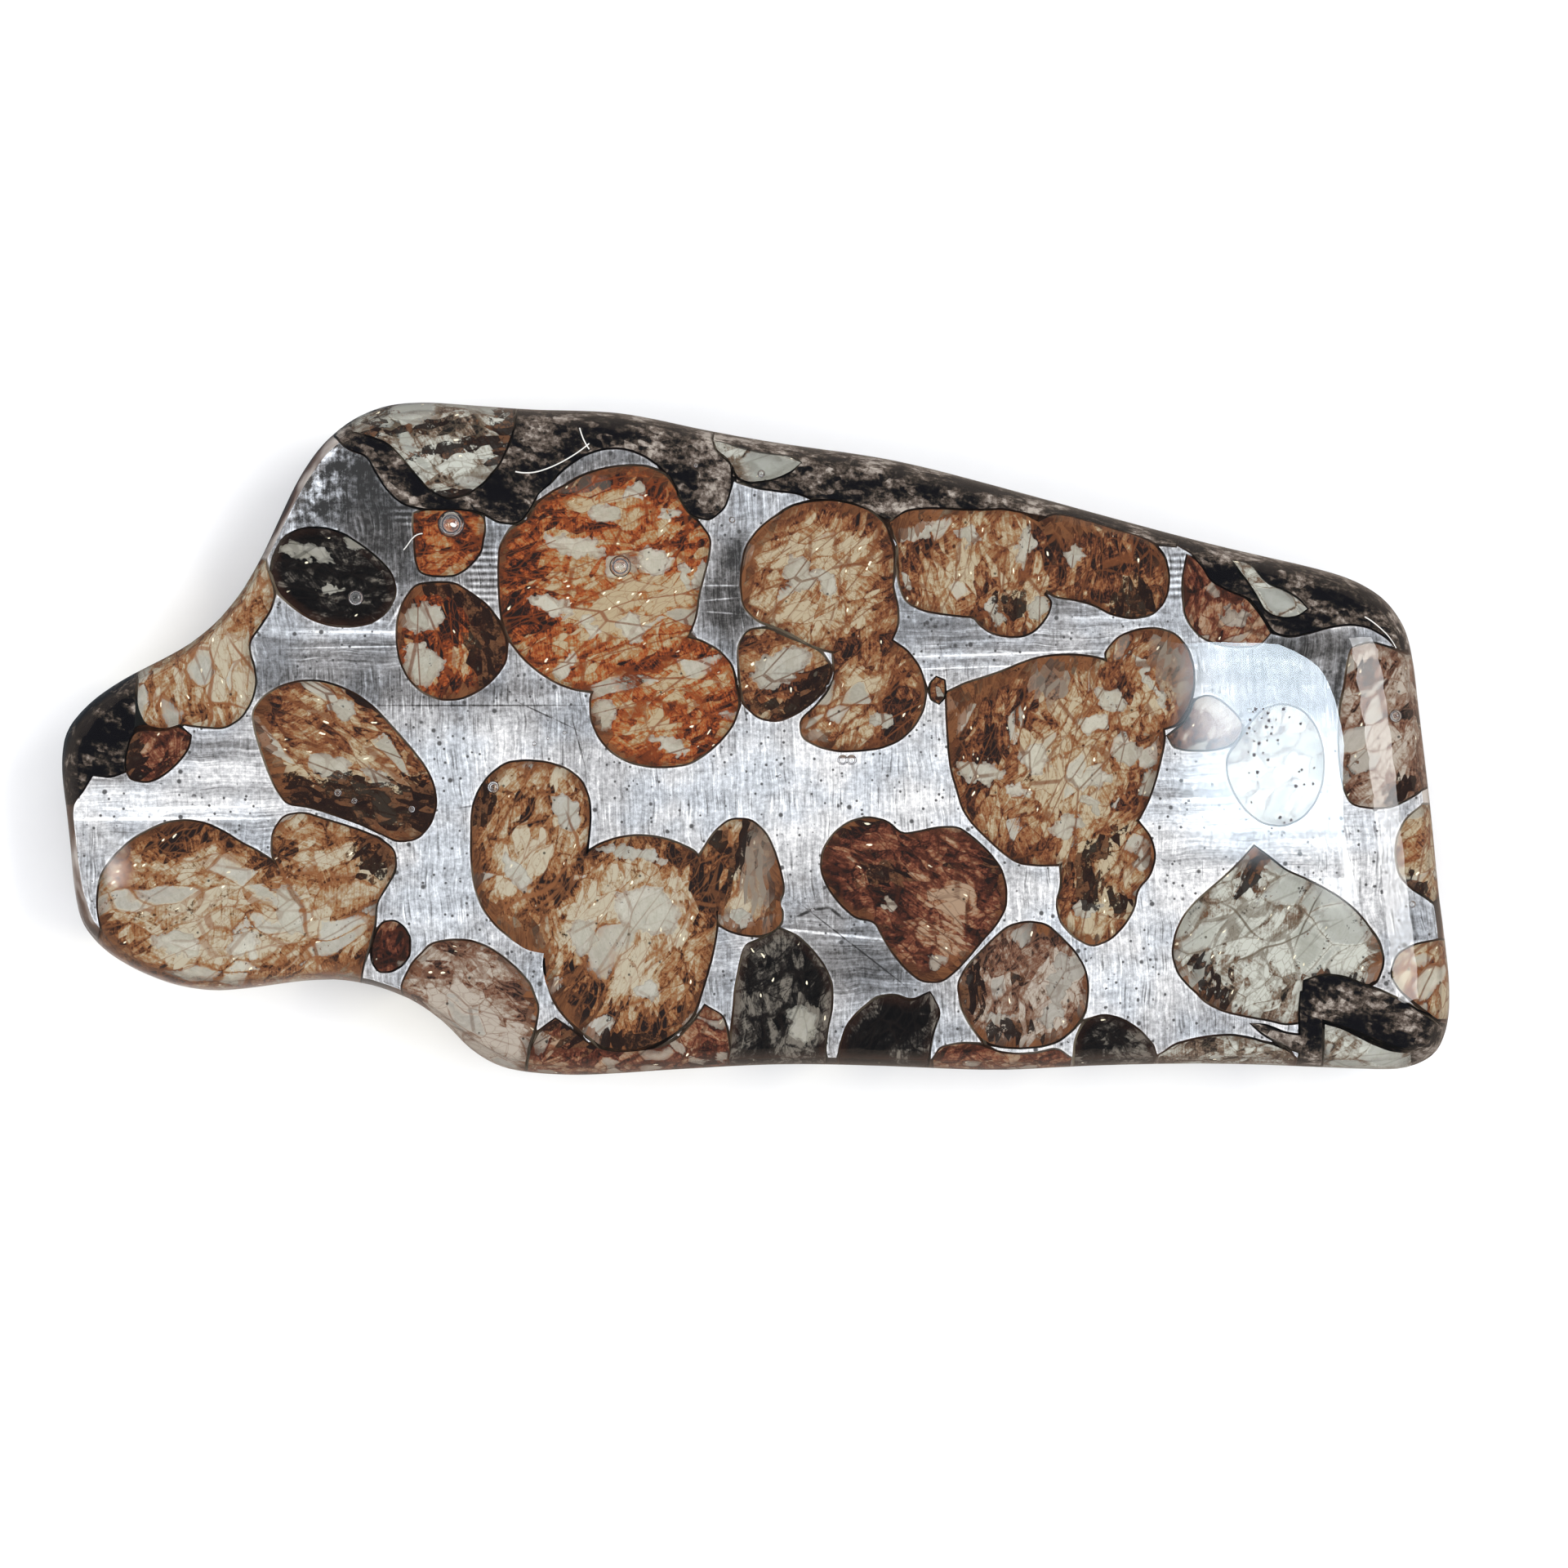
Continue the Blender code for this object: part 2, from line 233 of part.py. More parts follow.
# The rind and the seam, in the same form. They fill what the crystals leave of their outlines.
WEATHERED = {
    "weathered_seam": [
        ([(20.2, -8.9), (21.3, -8.75), (22.3, -9.1), (23.2, -9.45), (24.2, -10.05), (24.95, -10.7),
          (24.7, -11.15), (24.0, -11.25), (23.2, -11.0), (22.5, -10.7), (21.7, -10.4), (20.7, -10.1),
          (20.15, -9.7)], 1.0, (0.0, 0.0)),
        ([(20.1, -9.3), (20.7, -9.4), (20.75, -10.4), (20.75, -11.2), (20.75, -13.0), (20.05, -13.0),
          (20.05, -11.6), (20.05, -10.6)], 1.0, (0.0, 0.0)),
        ([(18.2, -10.3), (18.9, -10.5), (19.6, -10.75), (20.3, -10.8), (20.3, -11.35), (19.5, -11.0),
          (18.8, -10.7)], 1.0, (0.0, 0.0))],
    "weathered_rind_left": [(
        [(-26.4, -2.7), (-25.0, -2.45), (-24.6, -2.0), (-24.4, -1.5), (-24.0, -1.25), (-23.5, -1.4),
         (-23.1, -1.5), (-23.0, -0.6), (-22.7, 0.3), (-22.7, 1.2), (-22.7, 2.0), (-22.9, 3.6), (-25.0, 3.0),
         (-26.6, 1.5), (-26.8, -1.0)], 1.0, (0.0, 0.0))],
    "weathered_rind_top_left": [(
        [(-15.3, 11.0), (-14.9, 10.55), (-14.2, 10.35), (-13.9, 9.9), (-13.6, 9.3), (-13.1, 8.75),
         (-12.5, 8.5), (-11.4, 8.45), (-10.3, 8.4), (-9.75, 8.25), (-9.3, 7.9), (-8.8, 7.9), (-8.35, 8.15),
         (-8.3, 8.7), (-7.9, 9.15), (-7.3, 9.6), (-6.8, 10.0), (-6.1, 10.4), (-5.3, 10.55), (-4.5, 10.45),
         (-3.9, 10.15), (-3.3, 9.7), (-2.9, 9.2), (-2.6, 8.6), (-2.2, 8.1), (-1.5, 8.1), (-1.15, 8.5),
         (-1.0, 9.0), (-0.85, 9.6), (-1.1, 9.95), (-1.6, 10.3), (-1.75, 11.0), (-1.6, 12.6), (-5.0, 13.3),
         (-8.6, 13.4), (-8.7, 11.6), (-8.9, 10.8), (-10.5, 10.0), (-12.5, 10.2), (-13.6, 11.3),
         (-15.2, 12.0), (-15.9, 12.2)], 1.0, (0.0, 0.0))],
    "weathered_rind_top": [(
        [(-1.5, 12.6), (-1.6, 11.0), (-1.3, 10.2), (-0.8, 9.4), (-0.4, 9.15), (0.3, 9.05), (1.0, 8.95),
         (1.8, 8.85), (2.4, 8.6), (3.3, 8.6), (4.4, 8.15), (5.0, 7.9), (5.6, 8.2), (7.0, 8.3), (8.5, 8.2),
         (9.6, 8.2), (10.3, 7.95), (11.0, 8.05), (12.0, 7.9), (13.0, 7.55), (13.9, 7.3), (14.7, 6.95),
         (15.3, 6.8), (15.3, 9.0), (8.0, 11.0), (2.0, 12.2)], 1.0, (0.0, 0.0))],
    "weathered_rind_top_right": [(
        [(15.45, 9.0), (15.45, 6.95), (15.8, 6.65), (16.2, 6.55), (16.4, 6.0), (16.9, 5.5), (17.6, 5.2),
         (18.3, 4.9), (18.7, 4.3), (19.2, 3.7), (20.2, 3.8), (21.3, 4.1), (22.2, 4.1), (22.9, 3.8),
         (23.3, 3.35), (24.0, 3.1), (25.4, 3.1), (25.6, 5.0), (23.5, 7.6)], 1.0, (0.0, 0.0))],
}

# Base colour, roughness and metallic value of each finish.
FINISHES = {
    "resin": ((0.93, 0.95, 0.95), 0.06, 0.0),
    "metal": ((0.72, 0.72, 0.73), 0.3, 1.0),
    "olivine": ((0.62, 0.45, 0.27), 0.15, 0.0),
    "olivine_orange": ((0.62, 0.27, 0.12), 0.15, 0.0),
    "olivine_pale": ((0.58, 0.58, 0.5), 0.12, 0.0),
    "olivine_black": ((0.05, 0.045, 0.045), 0.15, 0.0),
    "weathered": ((0.045, 0.04, 0.04), 0.55, 0.0),
}


def smooth_outline(points, facet):
    """A closed curve through the points (centripetal Catmull-Rom), as equal facets, running anticlockwise."""
    knots = np.array(points, float)
    spans = len(knots)
    fine = []
    for i in range(spans):
        before, start, end, after = (knots[(i + k) % spans] for k in (-1, 0, 1, 2))
        times = np.cumsum([0.0] + [np.linalg.norm(b - a) ** 0.5 for a, b in
                                   ((before, start), (start, end), (end, after))])
        for t in np.linspace(times[1], times[2], CURVE_STEPS, endpoint=False):
            low = [mix(a, b, times[k], times[k + 1], t) for k, (a, b) in
                   enumerate(((before, start), (start, end), (end, after)))]
            middle = [mix(low[k], low[k + 1], times[k], times[k + 2], t) for k in (0, 1)]
            fine.append(mix(middle[0], middle[1], times[1], times[2], t))
    fine = np.array(fine)
    if signed_area(fine) < 0:
        fine = fine[::-1]
    lengths = np.linalg.norm(np.roll(fine, -1, axis=0) - fine, axis=1)
    along = np.concatenate([[0.0], np.cumsum(lengths)])
    if along[-1] < SMALL_PERIMETER:
        facet = SMALL_FACET
    count = max(FEWEST_FACETS, round(along[-1] / facet))
    places = np.linspace(0.0, along[-1], count, endpoint=False)
    looped = np.vstack([fine, fine[:1]])
    return np.column_stack([np.interp(places, along, looped[:, k]) for k in (0, 1)])


def mix(a, b, start, end, t):
    """The point at t on the line that is a at start and b at end."""
    return (a * (end - t) + b * (t - start)) / (end - start)


def signed_area(points):
    following = np.roll(points, -1, axis=0)
    return float(np.sum(points[:, 0] * following[:, 1] - following[:, 0] * points[:, 1])) / 2


def grown(points, distance):
    """The outline moved outwards along its normals."""
    along = np.roll(points, -1, axis=0) - np.roll(points, 1, axis=0)
    normals = np.column_stack([along[:, 1], -along[:, 0]])
    return points + normals / np.linalg.norm(normals, axis=1)[:, None] * distance


def shrunk(points, distance, step=0.1, evening=0.2):
    """The outline moved inwards in small steps, evened after each so that tight corners don't cross."""
    steps = max(1, round(distance / step))
    for _ in range(steps):
        points = grown(points, -distance / steps)
        neighbours = (np.roll(points, 1, axis=0) + np.roll(points, -1, axis=0)) / 2
        points = points + (neighbours - points) * evening
    return points


def mesh_object(name, rings):
    """A closed solid through (outline, height) rings, from its lower cap to its upper one."""
    shape = bmesh.new()
    loops = []
    for outline, height in rings:
        points = np.column_stack([outline - np.array(OUTLINE_MIDDLE), np.full(len(outline), height)])
        loops.append([shape.verts.new(point) for point in points * METRES_PER_MM])
    shape.faces.new(list(reversed(loops[0])))
    for lower, upper in zip(loops, loops[1:]):
        for i in range(len(lower)):
            j = (i + 1) % len(lower)
            shape.faces.new((lower[i], lower[j], upper[j], upper[i]))
    shape.faces.new(loops[-1])
    bmesh.ops.recalc_face_normals(shape, faces=shape.faces)
    mesh = bpy.data.meshes.new(name)
    shape.to_mesh(mesh)
    shape.free()
    obj = bpy.data.objects.new(name, mesh)
    bpy.context.collection.objects.link(obj)
    return obj


def lower_end(outline, taper, lean):
    """The outline at the slice's lower face."""
    middle = outline.mean(axis=0)
    return middle + (outline - middle) * taper + np.array(lean)


def column(name, outline, taper, lean, gap=0.0):
    """A lobe's column, made longer than the slice is thick, so that it cuts or is cut cleanly."""
    upper = grown(outline, gap)
    lower = grown(lower_end(outline, taper, lean), gap)
    return mesh_object(name, [
        (lower, SLICE_BOTTOM - OVERSHOOT),
        (lower, SLICE_BOTTOM),
        (upper, SLICE_TOP),
        (upper, SLICE_TOP + OVERSHOOT),
    ])


def combine(target, other, operation):
    """The Boolean of two solids, applied to the first. The other is removed."""
    modifier = target.modifiers.new(operation.lower(), "BOOLEAN")
    modifier.operation = operation
    modifier.solver = "EXACT"
    modifier.object = other
    graph = bpy.context.evaluated_depsgraph_get()
    result = bpy.data.meshes.new_from_object(target.evaluated_get(graph))
    target.modifiers.clear()
    target.data = result
    bpy.data.objects.remove(other, do_unlink=True)


def boxes_meet(first, second):
    """Whether two outlines' boxes come within reach of each other."""
    low = np.maximum(first.min(axis=0), second.min(axis=0))
    high = np.minimum(first.max(axis=0), second.max(axis=0))
    return bool(np.all(high - low > -2 * CONTACT_GAP))


def tidied(obj):
    """Joins the points and flat faces that the Booleans left split."""
    shape = bmesh.new()
    shape.from_mesh(obj.data)
    bmesh.ops.remove_doubles(shape, verts=shape.verts, dist=MERGE_METRES)
    bmesh.ops.dissolve_limit(shape, angle_limit=FLAT_RADIANS, verts=shape.verts, edges=shape.edges)
    bmesh.ops.recalc_face_normals(shape, faces=shape.faces)
    shape.to_mesh(obj.data)
    shape.free()


def finished(obj, finish):
    """Gives the object its own material, and shades its round walls smooth."""
    colour, roughness, metallic = FINISHES[finish]
    material = bpy.data.materials.new(obj.name)
    material.use_nodes = True
    shader = material.node_tree.nodes["Principled BSDF"]
    shader.inputs["Base Color"].default_value = (*colour, 1.0)
    shader.inputs["Roughness"].default_value = roughness
    shader.inputs["Metallic"].default_value = metallic
    obj.data.materials.clear()
    obj.data.materials.append(material)
    obj.data.shade_smooth()
    obj.data.set_sharp_from_angle(angle=SHARP_RADIANS)


def olivine_finish(name):
    for finish, words in (
        ("olivine_black", ("black", "dark", "crescent")),
        ("olivine_orange", ("orange", "red", "brown")),
        ("olivine_pale", ("window", "heart", "corner", "faint")),
    ):
        if any(word in name for word in words):
            return finish
    return "olivine"


def slice_plate(name, edge):
    return mesh_object(name, [(edge, SLICE_BOTTOM), (edge, SLICE_TOP)])


def make_filling(edge):
    """The crystals and the weathered pieces, each cut back from those made before it. Returns their lobes."""
    placed = []
    seam = {"weathered_seam": WEATHERED["weathered_seam"]}
    rind = {name: lobes for name, lobes in WEATHERED.items() if name not in seam}
    for group in (seam, CRYSTALS, rind):
        for name, lobes in group.items():
            outlines = [(smooth_outline(points, FACET), taper, lean) for points, taper, lean in lobes]
            piece = column(name, *outlines[0])
            for k, lobe in enumerate(outlines[1:]):
                combine(piece, column(f"{name}_lobe_{k}", *lobe), "UNION")
            combine(piece, slice_plate("plate", edge), "INTERSECT")
            for earlier in placed:
                if any(boxes_meet(earlier[0], lobe[0]) for lobe in outlines):
                    combine(piece, column("neighbour", *earlier, gap=CONTACT_GAP), "DIFFERENCE")
            tidied(piece)
            finished(piece, "weathered" if name in WEATHERED else olivine_finish(name))
            placed.extend(outlines)
    return placed


def keep_largest_body(obj):
    """Removes the splinters that the Booleans leave between crystals that nearly meet."""
    shape = bmesh.new()
    shape.from_mesh(obj.data)
    unseen = set(shape.verts)
    bodies = []
    while unseen:
        body = set()
        reached = {unseen.pop()}
        while reached:
            vert = reached.pop()
            body.add(vert)
            reached |= {edge.other_vert(vert) for edge in vert.link_edges} - body
        unseen -= body
        bodies.append(body)
    largest = max(bodies, key=len)
    splinters = [vert for vert in shape.verts if vert not in largest]
    bmesh.ops.delete(shape, geom=splinters, context="VERTS")
    shape.to_mesh(obj.data)
    shape.free()


def make_metal(edge, lobes):
    """What the crystals and the rind leave of the plate: one network, joined below where the crystals taper."""
    metal = slice_plate("iron_nickel_network", edge)
    for lobe in lobes:
        combine(metal, column("filling", *lobe, gap=CONTACT_GAP), "DIFFERENCE")
    tidied(metal)
    keep_largest_body(metal)
    finished(metal, "metal")


def make_resin(edge):
    """The two halves of the coat, each as rings from its flat cap, along its outside and into the pocket."""
    pocket = shrunk(edge, SLICE_TO_EDGE - POCKET_SIDE_GAP)
    floor = SLICE_BOTTOM - POCKET_END_GAP
    ceiling = SLICE_TOP + POCKET_END_GAP
    below = PARTING - PARTING_GAP / 2
    above = PARTING + PARTING_GAP / 2
    base = [(shrunk(edge, inset), height) for inset, height in BASE_ROLL]
    top = [(shrunk(edge, inset), height) for inset, height in TOP_ROLL]
    bottom_rings = [*base, (edge, below), (pocket, below), (pocket, floor)]
    top_rings = [(pocket, ceiling), (pocket, above), (edge, above), *top]
    finished(mesh_object("resin_coat_bottom", bottom_rings), "resin")
    finished(mesh_object("resin_coat_top", top_rings), "resin")


resin_edge = smooth_outline(RESIN_EDGE, RESIN_FACET)
slice_edge = shrunk(resin_edge, SLICE_TO_EDGE)
filling = make_filling(slice_edge)
make_metal(slice_edge, filling)
make_resin(resin_edge)
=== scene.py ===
"""A polished pallasite slice sealed in clear resin, lying on a pale table and seen from straight above.

It is built up in the order of the real piece: the table with its light, the iron-nickel metal, the
weathered rind, the olivine crystals and last the resin with what is caught in it.
"""

import json
import math

import bpy
from mathutils import Matrix, Vector

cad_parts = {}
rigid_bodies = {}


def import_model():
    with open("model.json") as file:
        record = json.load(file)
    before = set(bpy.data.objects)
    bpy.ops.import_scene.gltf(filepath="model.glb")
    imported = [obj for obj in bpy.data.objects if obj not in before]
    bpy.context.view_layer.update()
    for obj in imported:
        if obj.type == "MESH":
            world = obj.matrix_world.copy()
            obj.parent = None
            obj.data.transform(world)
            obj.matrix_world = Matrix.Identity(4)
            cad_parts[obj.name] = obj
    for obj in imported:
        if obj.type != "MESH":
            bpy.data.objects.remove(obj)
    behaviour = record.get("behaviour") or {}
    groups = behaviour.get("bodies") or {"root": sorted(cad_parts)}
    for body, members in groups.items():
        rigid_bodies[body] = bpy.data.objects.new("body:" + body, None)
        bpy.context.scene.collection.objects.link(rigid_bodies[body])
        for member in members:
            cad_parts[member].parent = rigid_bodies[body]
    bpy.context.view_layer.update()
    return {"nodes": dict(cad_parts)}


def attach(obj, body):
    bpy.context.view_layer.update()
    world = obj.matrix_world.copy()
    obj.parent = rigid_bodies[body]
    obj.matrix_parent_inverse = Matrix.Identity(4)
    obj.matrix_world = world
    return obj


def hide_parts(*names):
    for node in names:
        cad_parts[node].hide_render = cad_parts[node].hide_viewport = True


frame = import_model()
nodes = frame["nodes"]

# The table is a broad sheet of white card, a hair below the resin so that the two never touch. In mirror
# rays the card is painted darker, with darker and paler spots at the left end: a painted reflection for the
# resin's rolled edge. The camera looks straight down.
MM = 0.001
TABLE_SIZE = 1.6
TABLE_DROP = 0.03 * MM
CAMERA_OVER = Vector((1.05, -1.68, 3.2)) * MM
CAMERA_HEIGHT = 0.4
VIEW_WIDTH = 57.6 * MM
SENSOR = 36.0

bpy.ops.object.select_all(action="DESELECT")
bpy.ops.mesh.primitive_plane_add(size=TABLE_SIZE, location=(0, 0, -TABLE_DROP))
table = bpy.context.object
table.name = "table"


class Wire:
    """One output of a shader node. Sums and products written on it become Math nodes."""

    def __init__(self, finish, output):
        self.finish = finish
        self.output = output

    def out(self, name):
        """Another output of the same node."""
        return Wire(self.finish, self.output.node.outputs[name])

    def maths(self, operation, *values):
        return self.finish.node("Math", {"operation": operation}, dict(enumerate(values)))

    def chance(self):
        """What chance gave each cell, from 0 to 1, with two more such numbers as its Green and Blue."""
        return self.finish.node("SeparateColor", {}, {0: self.out("Color")})

    def __add__(self, other):
        return self.maths("ADD", self, other)

    def __sub__(self, other):
        return self.maths("SUBTRACT", self, other)

    def __mul__(self, other):
        return self.maths("MULTIPLY", self, other)

    def __truediv__(self, other):
        return self.maths("DIVIDE", self, other)

    def __rsub__(self, other):
        return self.maths("SUBTRACT", other, self)

    def __or__(self, other):
        return self.maths("MAXIMUM", self, other)

    __radd__ = __add__
    __rmul__ = __mul__

    def above(self, low, high):
        """0 below low and 1 above high, with a soft step between. A low above high turns it round."""
        soft = {"interpolation_type": "SMOOTHSTEP"}
        return self.finish.node("MapRange", soft, {"Value": self, "From Min": low, "From Max": high})


class Finish:
    """The node tree of one material, which reads its place in mm from the piece's Object coordinates."""

    TALL = 1e3

    def __init__(self, name):
        self.material = bpy.data.materials.new(name)
        self.material.use_nodes = True
        self.tree = self.material.node_tree
        self.tree.nodes.clear()
        self.place = self.node("VectorMath", {"operation": "SCALE"}, {
            0: self.node("TexCoord", out="Object"), "Scale": 1 / MM})

    def node(self, kind, settings=(), inputs=(), out=0):
        """Lays a node: its settings first, then the value or the wire of each socket."""
        made = self.tree.nodes.new("ShaderNode" + kind)
        for name, value in dict(settings).items():
            if name == "stops":
                ramp = made.color_ramp.elements
                while len(ramp) < len(value):
                    ramp.new(0.5)
                for stop, (position, colour) in zip(ramp, value):
                    stop.position = position
                    stop.color = (*colour, 1.0)
            else:
                setattr(made, name, value)
        for name, value in dict(inputs).items():
            socket = made.inputs[name]
            if isinstance(value, Wire):
                self.tree.links.new(value.output, socket)
            else:
                socket.default_value = value
        return Wire(self, made.outputs[out])

    def vector(self, operation, *values, out=0):
        return self.node("VectorMath", {"operation": operation}, dict(enumerate(values)), out)

    def laid(self, size, turn=0.0, place=None, middle=(0.0, 0.0)):
        """The place seen from a frame at the middle, turned by degrees, in units of a size."""
        return self.node("Mapping", {"vector_type": "TEXTURE"}, {
            "Vector": place or self.place, "Location": (*middle, 0.0),
            "Rotation": (0.0, 0.0, math.radians(turn)), "Scale": size})

    def noise(self, place, scale=1.0, detail=2.0, roughness=0.5, out="Fac"):
        """A cloudy noise from 0 to 1, with scale clouds to a unit of the place."""
        return self.node("TexNoise", {}, {
            "Vector": place, "Scale": scale, "Detail": detail, "Roughness": roughness}, out)

    def cells(self, place, scale=1.0, feature="F1"):
        """Random cells, with scale of them to a unit of the place."""
        return self.node("TexVoronoi", {"feature": feature}, {"Vector": place, "Scale": scale})

    def mixed(self, factor, first, second):
        """A colour between two."""
        first, second = ((*c, 1.0) if isinstance(c, tuple) else c for c in (first, second))
        return self.node("Mix", {"data_type": "RGBA"}, {0: factor, 6: first, 7: second}, 2)

    def warped(self, place, scale, reach, detail=1.0):
        """A place in mm, pushed about by a noise."""
        cloud = self.noise(self.place, scale, detail, 0.5, "Color")
        push = self.vector("SUBTRACT", cloud, (0.5, 0.5, 0.5))
        return self.vector("MULTIPLY_ADD", push, (reach, reach, reach), place)

    def near_edge(self, reach):
        """1 at the sharp edges of the piece and 0 a reach in mm away from them."""
        rounded = self.node("Bevel", {"samples": 2}, {"Radius": reach * MM})
        flat = self.node("NewGeometry", out="True Normal")
        return self.vector("DOT_PRODUCT", rounded, flat, out="Value").above(1.0, 0.8)

    def spots(self, marks, place=None, soft=0.25):
        """The mask of upright elliptic columns given as (x, y, half length, half width, turn)."""
        mask = None
        for x, y, length, width, turn in marks:
            seen = self.laid((length, width, self.TALL), turn, place, (x, y))
            spot = self.vector("LENGTH", seen, out="Value").above(1 + soft, 1 - soft)
            mask = spot | mask if mask else spot
        return mask

    def panes(self, marks, place=None):
        """The masks of eight-sided panes, given as for spots, and of the dark rings inside their edges."""
        mask = ring = 0.0
        for x, y, length, width, turn in marks:
            seen = self.laid((length, width, self.TALL), turn, place, (x, y))
            across = self.node("SeparateXYZ", {}, {0: self.vector("ABSOLUTE", seen)})
            along = across.out("Y")
            reach = across | along | (across + along) * 0.7
            pane = reach.above(1.05, 0.95)
            mask = pane | mask
            ring = pane * reach.above(0.72, 0.95) | ring
        return mask, ring

    def end(self, surface):
        """Closes the tree with its shader and returns the material."""
        output = self.tree.nodes.new("ShaderNodeOutputMaterial")
        self.tree.links.new(surface.output, output.inputs["Surface"])
        return self.material


card = Finish("white_card")
grain = card.noise(card.place, 0.6, 4.0)
card_shader = card.node("BsdfPrincipled", {}, {
    "Base Color": card.mixed(grain, (0.86, 0.86, 0.86), (0.9, 0.9, 0.9)), "Roughness": 0.7})
# Painted reflection: darker spots where the rolled edge at the left end mirrors the card.
dark_reflection_spots = card.spots([(-24, 2, 5, 4, 0), (-17, 10, 6, 5, 40)], soft=0.5)
shade = card.mixed(dark_reflection_spots, (0.24, 0.20, 0.17), (0.07, 0.08, 0.09))
# Painted reflection: paler spots where the rolled edge mirrors a blurred band of light.
haze = card.spots([(-19, -8, 7, 4, 0), (-23, -6, 4, 3, 0)], soft=0.5)
shade = card.mixed(haze, shade, (0.45, 0.42, 0.40))
card_dark = card.node("BsdfDiffuse", {}, {0: shade})
mirrored = card.node("LightPath", out="Is Glossy Ray")
card_surface = card.node("MixShader", {}, {0: mirrored, 1: card_shader, 2: card_dark})
table.data.materials.append(card.end(card_surface))

camera_data = bpy.data.cameras.new("camera")
camera_data.sensor_width = SENSOR
camera_data.lens = SENSOR * CAMERA_HEIGHT / VIEW_WIDTH
camera_data.clip_end = 10.0
camera = bpy.data.objects.new("camera", camera_data)
camera.location = CAMERA_OVER + Vector((0, 0, CAMERA_HEIGHT))
bpy.context.scene.collection.objects.link(camera)
bpy.context.scene.camera = camera
bpy.context.scene.view_settings.view_transform = "Standard"
for bounces, most in (("max", 7), ("diffuse", 1), ("glossy", 2), ("transmission", 7)):
    setattr(bpy.context.scene.cycles, bounces + "_bounces", most)

# The light is that of a pale room, with a wide soft lamp at the right and a weaker one at the left. Windows
# far above are mirrored by the flat of the resin and light nothing else.
SKY_OVERHEAD = (0.34, 0.35, 0.38)
SKY_BRIGHT = (2.1, 2.11, 2.15)
SKY_HORIZON = (0.12, 0.13, 0.16)
SKY_MIRRORED = (0.10, 0.105, 0.12)
BACKDROP = (0.93, 0.93, 0.93)
world = bpy.data.worlds.new("room")
bpy.context.scene.world = world
world.use_nodes = True
sky = world.node_tree
sky.nodes.clear()


def sky_node(kind, inputs=(), **settings):
    """Lays a node of the room's light: its settings, then the value or the link of each socket."""
    made = sky.nodes.new("ShaderNode" + kind)
    for name, value in settings.items():
        setattr(made, name, value)
    for name, value in dict(inputs).items():
        if isinstance(value, bpy.types.NodeSocket):
            sky.links.new(value, made.inputs[name])
        else:
            made.inputs[name].default_value = value
    return made


direction = sky_node("SeparateXYZ", {0: sky_node("TexCoord").outputs["Generated"]})
sky_tone = sky_node("ValToRGB", {"Fac": direction.outputs["Z"]})
stops = sky_tone.color_ramp.elements
while len(stops) < 5:
    stops.new(0.5)
for stop, (position, colour) in zip(stops, (
        (0.0, SKY_HORIZON), (0.18, SKY_HORIZON), (0.4, SKY_BRIGHT), (0.7, SKY_BRIGHT),
        (0.86, SKY_OVERHEAD))):
    stop.position = position
    stop.color = (*colour, 1)
seen = sky_node("LightPath").outputs["Is Camera Ray"]
shown = sky_node("Mix", {0: seen, 6: sky_tone.outputs[0], 7: (*BACKDROP, 1)}, data_type="RGBA")
depth = sky_node("LightPath").outputs["Transmission Depth"]
outside = sky_node("Math", {0: depth, 1: 0.5}, operation="LESS_THAN").outputs[0]
glossy = sky_node("LightPath").outputs["Is Glossy Ray"]
by_resin = sky_node("Math", {0: glossy, 1: outside}, operation="MULTIPLY").outputs[0]
shown = sky_node("Mix", {0: by_resin, 6: shown.outputs[2], 7: (*SKY_MIRRORED, 1)}, data_type="RGBA")
background = sky_node("Background", {"Color": shown.outputs[2], "Strength": 1.0})
sky_node("OutputWorld", {"Surface": background.outputs[0]})


def soft_light(name, place, size, power, aim=(0, 0, 0), colour=(1, 1, 1)):
    """A rectangular light at a place in mm, aimed at a point."""
    data = bpy.data.lights.new(name, "AREA")
    data.shape = "RECTANGLE"
    data.size, data.size_y = (side * MM for side in size)
    data.energy = power
    data.color = colour
    light = bpy.data.objects.new(name, data)
    light.location = Vector(place) * MM
    light.rotation_euler = (Vector(aim) - Vector(place)).to_track_quat("-Z", "Y").to_euler()
    bpy.context.scene.collection.objects.link(light)
    return light


def faded(light, *edges):
    """Fades a lamp towards its edges: each an axis, and where along it there is no light and full light."""
    light.data.use_nodes = True
    tree = light.data.node_tree
    across = tree.nodes.new("ShaderNodeSeparateXYZ")
    tree.links.new(tree.nodes.new("ShaderNodeNewGeometry").outputs["Parametric"], across.inputs[0])
    strength = None
    for axis, low, high in edges:
        fade = tree.nodes.new("ShaderNodeMapRange")
        fade.interpolation_type = "SMOOTHSTEP"
        tree.links.new(across.outputs[axis], fade.inputs["Value"])
        fade.inputs["From Min"].default_value = low
        fade.inputs["From Max"].default_value = high
        product = tree.nodes.new("ShaderNodeMath")
        product.operation = "MULTIPLY"
        tree.links.new(fade.outputs[0], product.inputs[0])
        product.inputs[1].default_value = 1.0
        if strength:
            tree.links.new(strength.outputs[0], product.inputs[1])
        strength = product
    tree.links.new(strength.outputs[0], tree.nodes["Emission"].inputs["Strength"])


WINDOW_HEIGHT = (CAMERA_HEIGHT + CAMERA_OVER.z) / MM


def window_pane(name, middle, size, radiance, colour, *edges, turn=0.0):
    """A window as high as the camera, which the resin mirrors half way between the two."""
    power = radiance * math.pi * size[0] * size[1] * MM * MM
    pane = soft_light(name, (*middle, WINDOW_HEIGHT), size, power, colour=colour)
    pane.rotation_euler = (0, 0, math.radians(turn))
    pane.visible_diffuse = False
    pane.visible_transmission = False
    faded(pane, *edges)


